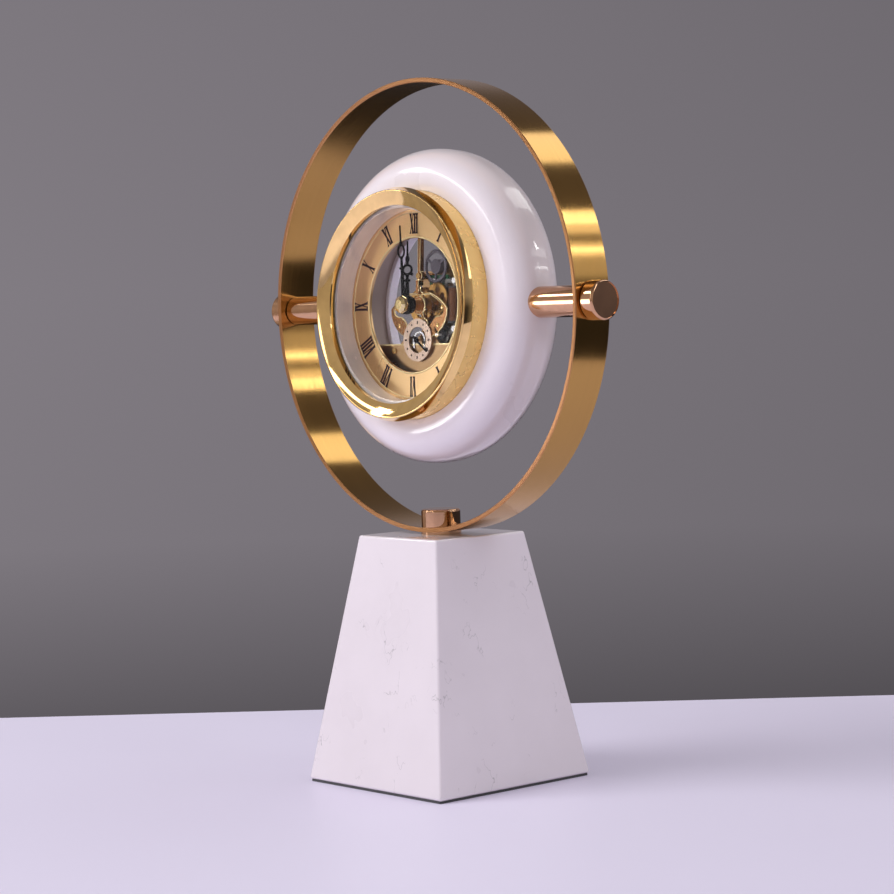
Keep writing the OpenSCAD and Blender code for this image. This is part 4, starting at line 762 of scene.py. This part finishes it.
class CLOCK_OT_movement_finish(bpy.types.Operator):
    """Plates, wheels, hands, motor, board and battery"""
    bl_idname = "clock.movement_finish"
    bl_label = "Movement finishes"

    def execute(self, context):
        tones = colours()
        groups = {
            "brushed_plate": ("lower_plate", "rear_plate", "dial_feet"),
            "bridge_gold_painted_shade": ("front_bridge", "strut", "pillars"),
            "stamped_brass": ("cannon_pinion", "hour_wheel", "motion_wheel", "seconds_wheel",
                              "third_wheel", "centre_wheel", "inter_wheel"),
            "black_enamel": ("minute_hand", "hour_hand", "seconds_hand"),
            "polished_gold": ("hub_nut", "plate_screws"),
            "bright_steel": ("seconds_cock", "battery_contacts", "stator_screws",
                             "crystal_can", "clutch_washer", "dial_screws"),
            "dark_metal": ("setting_wheel",),
            "black_plastic": ("battery_tray", "coil_bobbin", "chip", "set_knob"),
            "sintered_magnet": ("rotor_magnet", "stator_pillars"),
            "strip_steel": ("stator",),
            "wound_copper": ("coil_winding",),
            "circuit_board": ("circuit_board",),
            "cell_sleeve": ("battery",),
            "white_plastic": ("rotor_pinion",),
        }
        satin("brushed_plate", tones.plate, (60.0, 1800.0, 2600.0), 0.26, 0.38)
        # The bridge's gold, darkened as painted shade for what its polished face mirrors
        polished("bridge_gold_painted_shade", tones.bridge, 0.1, 0.24, wave=20 * MICRON, spread=700.0)
        satin("stamped_brass", tones.brass, (1900.0, 1900.0, 1900.0), 0.2, 0.34)
        moulded("black_enamel", tones.black, 0.4, 0.5, 3000.0, 3 * MICRON, level=0.1)
        moulded("dark_metal", (0.1, 0.045, 0.018), 0.4, 0.55, level=0.1)
        moulded("black_plastic", (0.014, 0.014, 0.015), 0.35, 0.5)
        moulded("sintered_magnet", (0.05, 0.05, 0.055), 0.45, 0.6)
        satin("strip_steel", (0.2, 0.19, 0.18), (300.0, 2000.0, 2000.0), 0.3, 0.45)
        wound("wound_copper", (0.2, 0.085, 0.04))
        moulded("circuit_board", (0.012, 0.07, 0.03), 0.3, 0.42)
        moulded("cell_sleeve", (0.09, 0.085, 0.08), 0.2, 0.3)
        for finish, nodes in groups.items():
            for node in nodes:
                dressed(node, bpy.data.materials[finish])
        # Real bevels, rims and a bead in a pale, half-metal gold that reads bright under any
        # light: a painted highlight
        cut = polished("cut_gold_painted_highlight", tones.nut, 0.1, 0.2, metal=0.35)
        for node, width in (("front_bridge", 0.4 * MM), ("strut", 0.3 * MM)):
            with_cut_edges(node, cut, "head", width)
        # A bead along the lower plate's top edge, in the painted-highlight gold: a flat section
        # carried from side to side
        bead_tall, bead_deep, bead_sunk, plate_drop = 0.4 * MM, 0.3 * MM, 0.15 * MM, 17.2 * MM
        lowest, highest = upright_box("lower_plate")
        front, top = lowest[1] + bead_sunk, AXIS_Z - plate_drop
        half = highest[0] - bead_deep
        ends = np.array([[-half, front, top], [half, front, top]])
        line = carried(ends, (0, 0, 1), (0, 1, 0), bead_tall, bead_deep)
        skin("plate_edge", [line], cut, "head")
        return {"FINISHED"}


# Strokes of each numeral letter: foot and head across, as shares of the letter's width, and
# whether the stroke is thick
LETTERS = {
    "I": ((0.5, 0.5, True),),
    "V": ((0.5, 0.0, True), (0.5, 1.0, False)),
    "X": ((1.0, 0.0, True), (0.0, 1.0, False)),
}
NUMERALS = ("I", "II", "III", "IIII", "V", "VI", "VII", "VIII", "IX", "X", "XI", "XII")


def numeral_strokes(word, hour):
    """Grids of one hour numeral: straight strokes from the foot to the head circle, carried with
    a flat section whose width swells at both ends into the serifs."""
    s = sizes()
    front = depths("wall_ring")[1] - s.print_height / 2 + PRINT_SUNK
    letter_wide, filled, serif = s.numeral_height * 0.27, 0.8, 0.32 * MM
    spans = [letter_wide if letter in "VX" else s.numeral_pitch for letter in word]
    along = np.array([0.0, 0.05, 0.12, 0.5, 0.88, 0.95, 1.0])
    swell = np.array([1.0, 0.55, 0.0, 0.0, 0.0, 0.55, 1.0]) * serif
    outward, clockwise = s.numeral_height * along, hour * 30
    grids, start = [], -sum(spans) / 2
    for letter, span in zip(word, spans):
        inner = span * filled if letter in "VX" else span
        edge = start + (span - inner) / 2
        for foot, head, thick in LETTERS[letter]:
            right = edge + inner * (foot + (head - foot) * along)
            path = on_dial(right, outward, clockwise, s.numeral_foot, front)
            beside = on_dial(right + 1, outward, clockwise, s.numeral_foot, front)
            half = (s.thick_stroke if thick else s.thin_stroke) / 2 + swell
            grids.append(carried(path, beside - path, (0, 1, 0), half * np.sqrt(2),
                                 s.print_height / 2 * np.sqrt(2)))
        start += span
    return grids


class CLOCK_OT_bezel(bpy.types.Operator):
    """The polished bezel as one smooth turned piece"""
    bl_idname = "clock.bezel"
    bl_label = "Bezel"

    def execute(self, context):
        # The front runs from the lip out to the crest, hollowed by a sine, the crest is a
        # quarter of a circle, and the back is flat
        lens_front = depths("lens")[0]
        front, back = depths("bezel_ring")[0], lens_front - SKIM
        outer = upright_box("bezel_ring")[1][0]
        middle = outer - FLANK_WIDE - CREST_RADIUS
        hollow = 0.22 * MM
        t = np.linspace(0, 1, 25)
        start = lens_front - LIP_HIGH
        slope = np.stack([LIP_RADIUS + (middle - LIP_RADIUS) * t,
                          start + (front + INSET - start) * t + hollow * np.sin(np.pi * t)], -1)
        a = np.linspace(-np.pi / 2, 0.0, 11)[1:]
        nose = np.stack([middle + CREST_RADIUS * np.cos(a),
                         front + CREST_RADIUS + CREST_RADIUS * np.sin(a)], -1)
        rest = [[outer, lens_front - GROOVE], [outer - GROOVE, back], [outer - 3 * MM, back],
                [LIP_RADIUS + 1 * MM, back], [LIP_RADIUS, back]]
        profile = np.concatenate([slope, nose, rest])
        piece = skin("bezel_polished", [hoop(profile)], bpy.data.materials["polished_gold"],
                     "head", angle=32.0, closed=True)
        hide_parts("bezel_ring")
        return {"FINISHED"}


class CLOCK_OT_shell(bpy.types.Operator):
    """The lacquered shell as one smooth turned piece"""
    bl_idname = "clock.shell"
    bl_label = "Shell"

    def execute(self, context):
        # Two arcs of one radius, fore and aft of a short flat, from the case's seat round to
        # the rear ring's, with a stepped hole inside
        lowest, highest = upright_box("head_shell")
        clear, shelf, step = 0.12 * MM, 2.5 * MM, 1.2 * MM
        seat = upright_box("case_band")[1][0] + clear
        inner = upright_box("rear_ring")[1][0] + clear
        ledge = depths("rear_ring")[1] - LEDGE_WIDE
        radius = (highest[1] - lowest[1] - SHELL_FLAT) / 2 - INSET
        middle, deep = highest[0] - INSET - radius, lowest[1] + INSET + radius
        a = np.linspace(-np.pi / 2 - np.arcsin((middle - seat) / radius), 0.0, 25)
        fore = np.stack([middle + radius * np.cos(a), deep + radius * np.sin(a)], -1)
        b = np.linspace(0.0, np.pi / 2 + np.arcsin((middle - inner) / radius), 25)
        aft = np.stack([middle + radius * np.cos(b),
                        deep + SHELL_FLAT + radius * np.sin(b)], -1)
        ends = [[inner, ledge], [inner - shelf, ledge],
                [inner - shelf, fore[0, 1] + step], [seat, fore[0, 1] + step]]
        profile = np.concatenate([fore, aft, ends])
        piece = skin("shell_lacquered", [hoop(profile, 288)],
                     bpy.data.materials["shell_lacquer"], "head", angle=32.0,
                     closed=True)
        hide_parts("head_shell")
        return {"FINISHED"}


class CLOCK_OT_band(bpy.types.Operator):
    """The satin case as one smooth turned piece"""
    bl_idname = "clock.band"
    bl_label = "Case band"

    def execute(self, context):
        # A tube with a wide band at its front, whose bore is stepped for the glass and the dial
        lowest, highest = upright_box("case_band")
        front, back, outer = lowest[1], highest[1] - SKIM, highest[0] - SKIM
        lens_back, dial_back = depths("lens")[1], depths("dial_ring")[1]
        floor = front + BAND_DEEP
        gasket = upright_box("lens_gasket")[1][0]
        tube = upright_box("rear_ring")[1][0] - REAR_REACH
        bore = tube - TUBE_WALL
        profile = [[tube, back], [tube, floor], [outer, floor], [outer, front + GROOVE],
                   [outer - GROOVE, front], [gasket, front], [gasket, lens_back],
                   [SEAT_RADIUS, lens_back], [SEAT_RADIUS, dial_back], [bore, dial_back],
                   [bore, back]]
        piece = skin("case_satin", [hoop(profile, 288)], bpy.data.materials["satin_gold"],
                     "head", angle=32.0, closed=True)
        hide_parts("case_band")
        return {"FINISHED"}


class CLOCK_OT_dial_rims(bpy.types.Operator):
    """Polished lines at the inner and outer edge of the dial, in a pale gold that paints a
    highlight on them
    """
    bl_idname = "clock.dial_rims"
    bl_label = "Dial rims"

    def execute(self, context):
        # Each rim is a hoop with a flat top and a slope on both sides
        front = depths("wall_ring")[1]
        sunk = front + 0.1 * MM
        for name, start, wide, high in (
                ("dial_rim_inner", DIAL_OPENING + INSET, 0.9 * MM, 0.5 * MM),
                ("dial_rim_outer", DIAL_EDGE - 0.5 * MM, 0.5 * MM, 0.25 * MM)):
            profile = [[start, sunk], [start + wide, sunk], [start + wide, front],
                       [start + 0.7 * wide, front - high], [start + 0.3 * wide, front - high],
                       [start, front]]
            skin(name, [hoop(profile)], bpy.data.materials["cut_gold_painted_highlight"], "head",
                 angle=20.0, closed=True)
        return {"FINISHED"}


class CLOCK_OT_hub_nut(bpy.types.Operator):
    """The hub nut with its facets cut and polished"""
    bl_idname = "clock.hub_nut"
    bl_label = "Hub nut"

    def execute(self, context):
        # A collar, a neck, a body and a cone, swept with a corner for each facet
        lowest, highest = upright_box("hub_nut")
        radius, facets = highest[0] - 0.05 * MM, 8
        front, back = lowest[1] + INSET, highest[1] - INSET
        deep = back - front
        profile = [[radius * 0.5, back], [radius, back], [radius, back - 0.25 * deep],
                   [radius * 0.9, back - 0.3 * deep], [radius * 0.98, back - 0.36 * deep],
                   [radius * 0.94, front + 0.3 * deep], [radius * 0.55, front],
                   [radius * 0.1, front]]
        pale = polished("pale_gold", colours().nut, 0.06, 0.12, spread=900.0)
        piece = skin("hub_nut_faceted", [turned(HEAD, profile, facets)], pale, "minute_work",
                     angle=12.0)
        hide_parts("hub_nut")
        return {"FINISHED"}


class CLOCK_OT_numerals(bpy.types.Operator):
    """Printed hour numerals on the dial"""
    bl_idname = "clock.numerals"
    bl_label = "Hour numerals"

    def execute(self, context):
        grids = []
        for hour, word in enumerate(NUMERALS, 1):
            grids += numeral_strokes(word, hour)
        ink = moulded("numeral_ink", colours().ink, 0.5, 0.6, 3000.0, 3 * MICRON, level=0.1)
        skin("dial_numerals", grids, ink, "head", angle=20.0)
        return {"FINISHED"}


class CLOCK_OT_small_marks(bpy.types.Operator):
    """Twelve marks on the small seconds dial"""
    bl_idname = "clock.small_marks"
    bl_label = "Small dial marks"

    def execute(self, context):
        # Each mark is a flat section carried outwards, and every third one is longer
        s = sizes()
        front = depths("small_dial")[0] - s.print_height / 2 + PRINT_SUNK
        place = HEAD + [0, front, -SMALL_DROP]
        half_wide, short = 0.55 * MM, 0.7
        grids = []
        for mark in range(12):
            turn = np.radians(mark * 30)
            out = np.array([np.sin(turn), 0, np.cos(turn)])
            across = np.array([np.cos(turn), 0, -np.sin(turn)])
            long = s.mark_size * (1.0 if mark % 3 == 0 else short)
            path = place + out * (s.mark_radius + np.array([[-0.5], [0.5]]) * long)
            grids.append(carried(path, across, (0, 1, 0), half_wide, s.print_height * 0.7))
        skin("small_dial_marks", grids, bpy.data.materials["numeral_ink"], "head",
             angle=20.0)
        return {"FINISHED"}


# Jewels on each side of the bridge: across from the dial's axis and above it
JEWEL_PLACES = ((12.7 * MM, -8.9 * MM), (15.5 * MM, -1.0 * MM))


class CLOCK_OT_jewels(bpy.types.Operator):
    """Domed settings of the jewels on the bridge"""
    bl_idname = "clock.jewels"
    bl_label = "Jewels"

    def execute(self, context):
        # A short wall, then a dome that rises as a quarter of an ellipse towards its middle
        r, h = sizes().jewel_radius, sizes().jewel_height
        t = np.linspace(0, 1, 9)
        dome = 0.4 + 0.6 * np.sqrt(1 - (1 - t) ** 2)
        profile = np.concatenate([[[r, 0.1 * MM], [r, -h * 0.4]],
                                  np.stack([r * (0.98 - 0.93 * t), -h * dome], -1)])
        front = depths("front_bridge")[0]
        grids = []
        for across, above in JEWEL_PLACES:
            for side in (1, -1):
                grids.append(turned(HEAD + [side * across, front, above], profile))
        gold = polished("jewel_gold", colours().bezel, 0.05, 0.12, wave=4 * MICRON, spread=1500.0)
        skin("bridge_jewels", grids, gold, "head", angle=30.0)
        return {"FINISHED"}


OPERATORS = (CLOCK_OT_stage, CLOCK_OT_stand_finish, CLOCK_OT_case_finish,
             CLOCK_OT_movement_finish, CLOCK_OT_shell, CLOCK_OT_band, CLOCK_OT_bezel,
             CLOCK_OT_dial_rims, CLOCK_OT_hub_nut, CLOCK_OT_numerals, CLOCK_OT_small_marks,
             CLOCK_OT_jewels)


class CLOCK_PT_pieces(bpy.types.Panel):
    """Lists the clock's operators"""
    bl_idname = "CLOCK_PT_pieces"
    bl_label = "Ring table clock"
    bl_space_type = "VIEW_3D"
    bl_region_type = "UI"
    bl_category = "Clock"

    def draw(self, context):
        for operator in OPERATORS:
            self.layout.operator(operator.bl_idname)
        for group in (context.scene.clock_sizes, context.scene.clock_colours):
            for name in group.bl_rna.properties.keys():
                if name not in ("rna_type", "name"):
                    self.layout.prop(group, name)


CLASSES = (ClockSizes, ClockColours) + OPERATORS + (CLOCK_PT_pieces,)


def register():
    for entry in CLASSES:
        bpy.utils.register_class(entry)
    bpy.types.Scene.clock_sizes = PointerProperty(type=ClockSizes)
    bpy.types.Scene.clock_colours = PointerProperty(type=ClockColours)


def unregister():
    del bpy.types.Scene.clock_colours
    del bpy.types.Scene.clock_sizes
    for entry in reversed(CLASSES):
        bpy.utils.unregister_class(entry)


def main():
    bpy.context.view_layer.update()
    register()
    for operator in OPERATORS:
        group, name = operator.bl_idname.split(".")
        getattr(getattr(bpy.ops, group), name)()


if __name__ == "__main__":
    main()
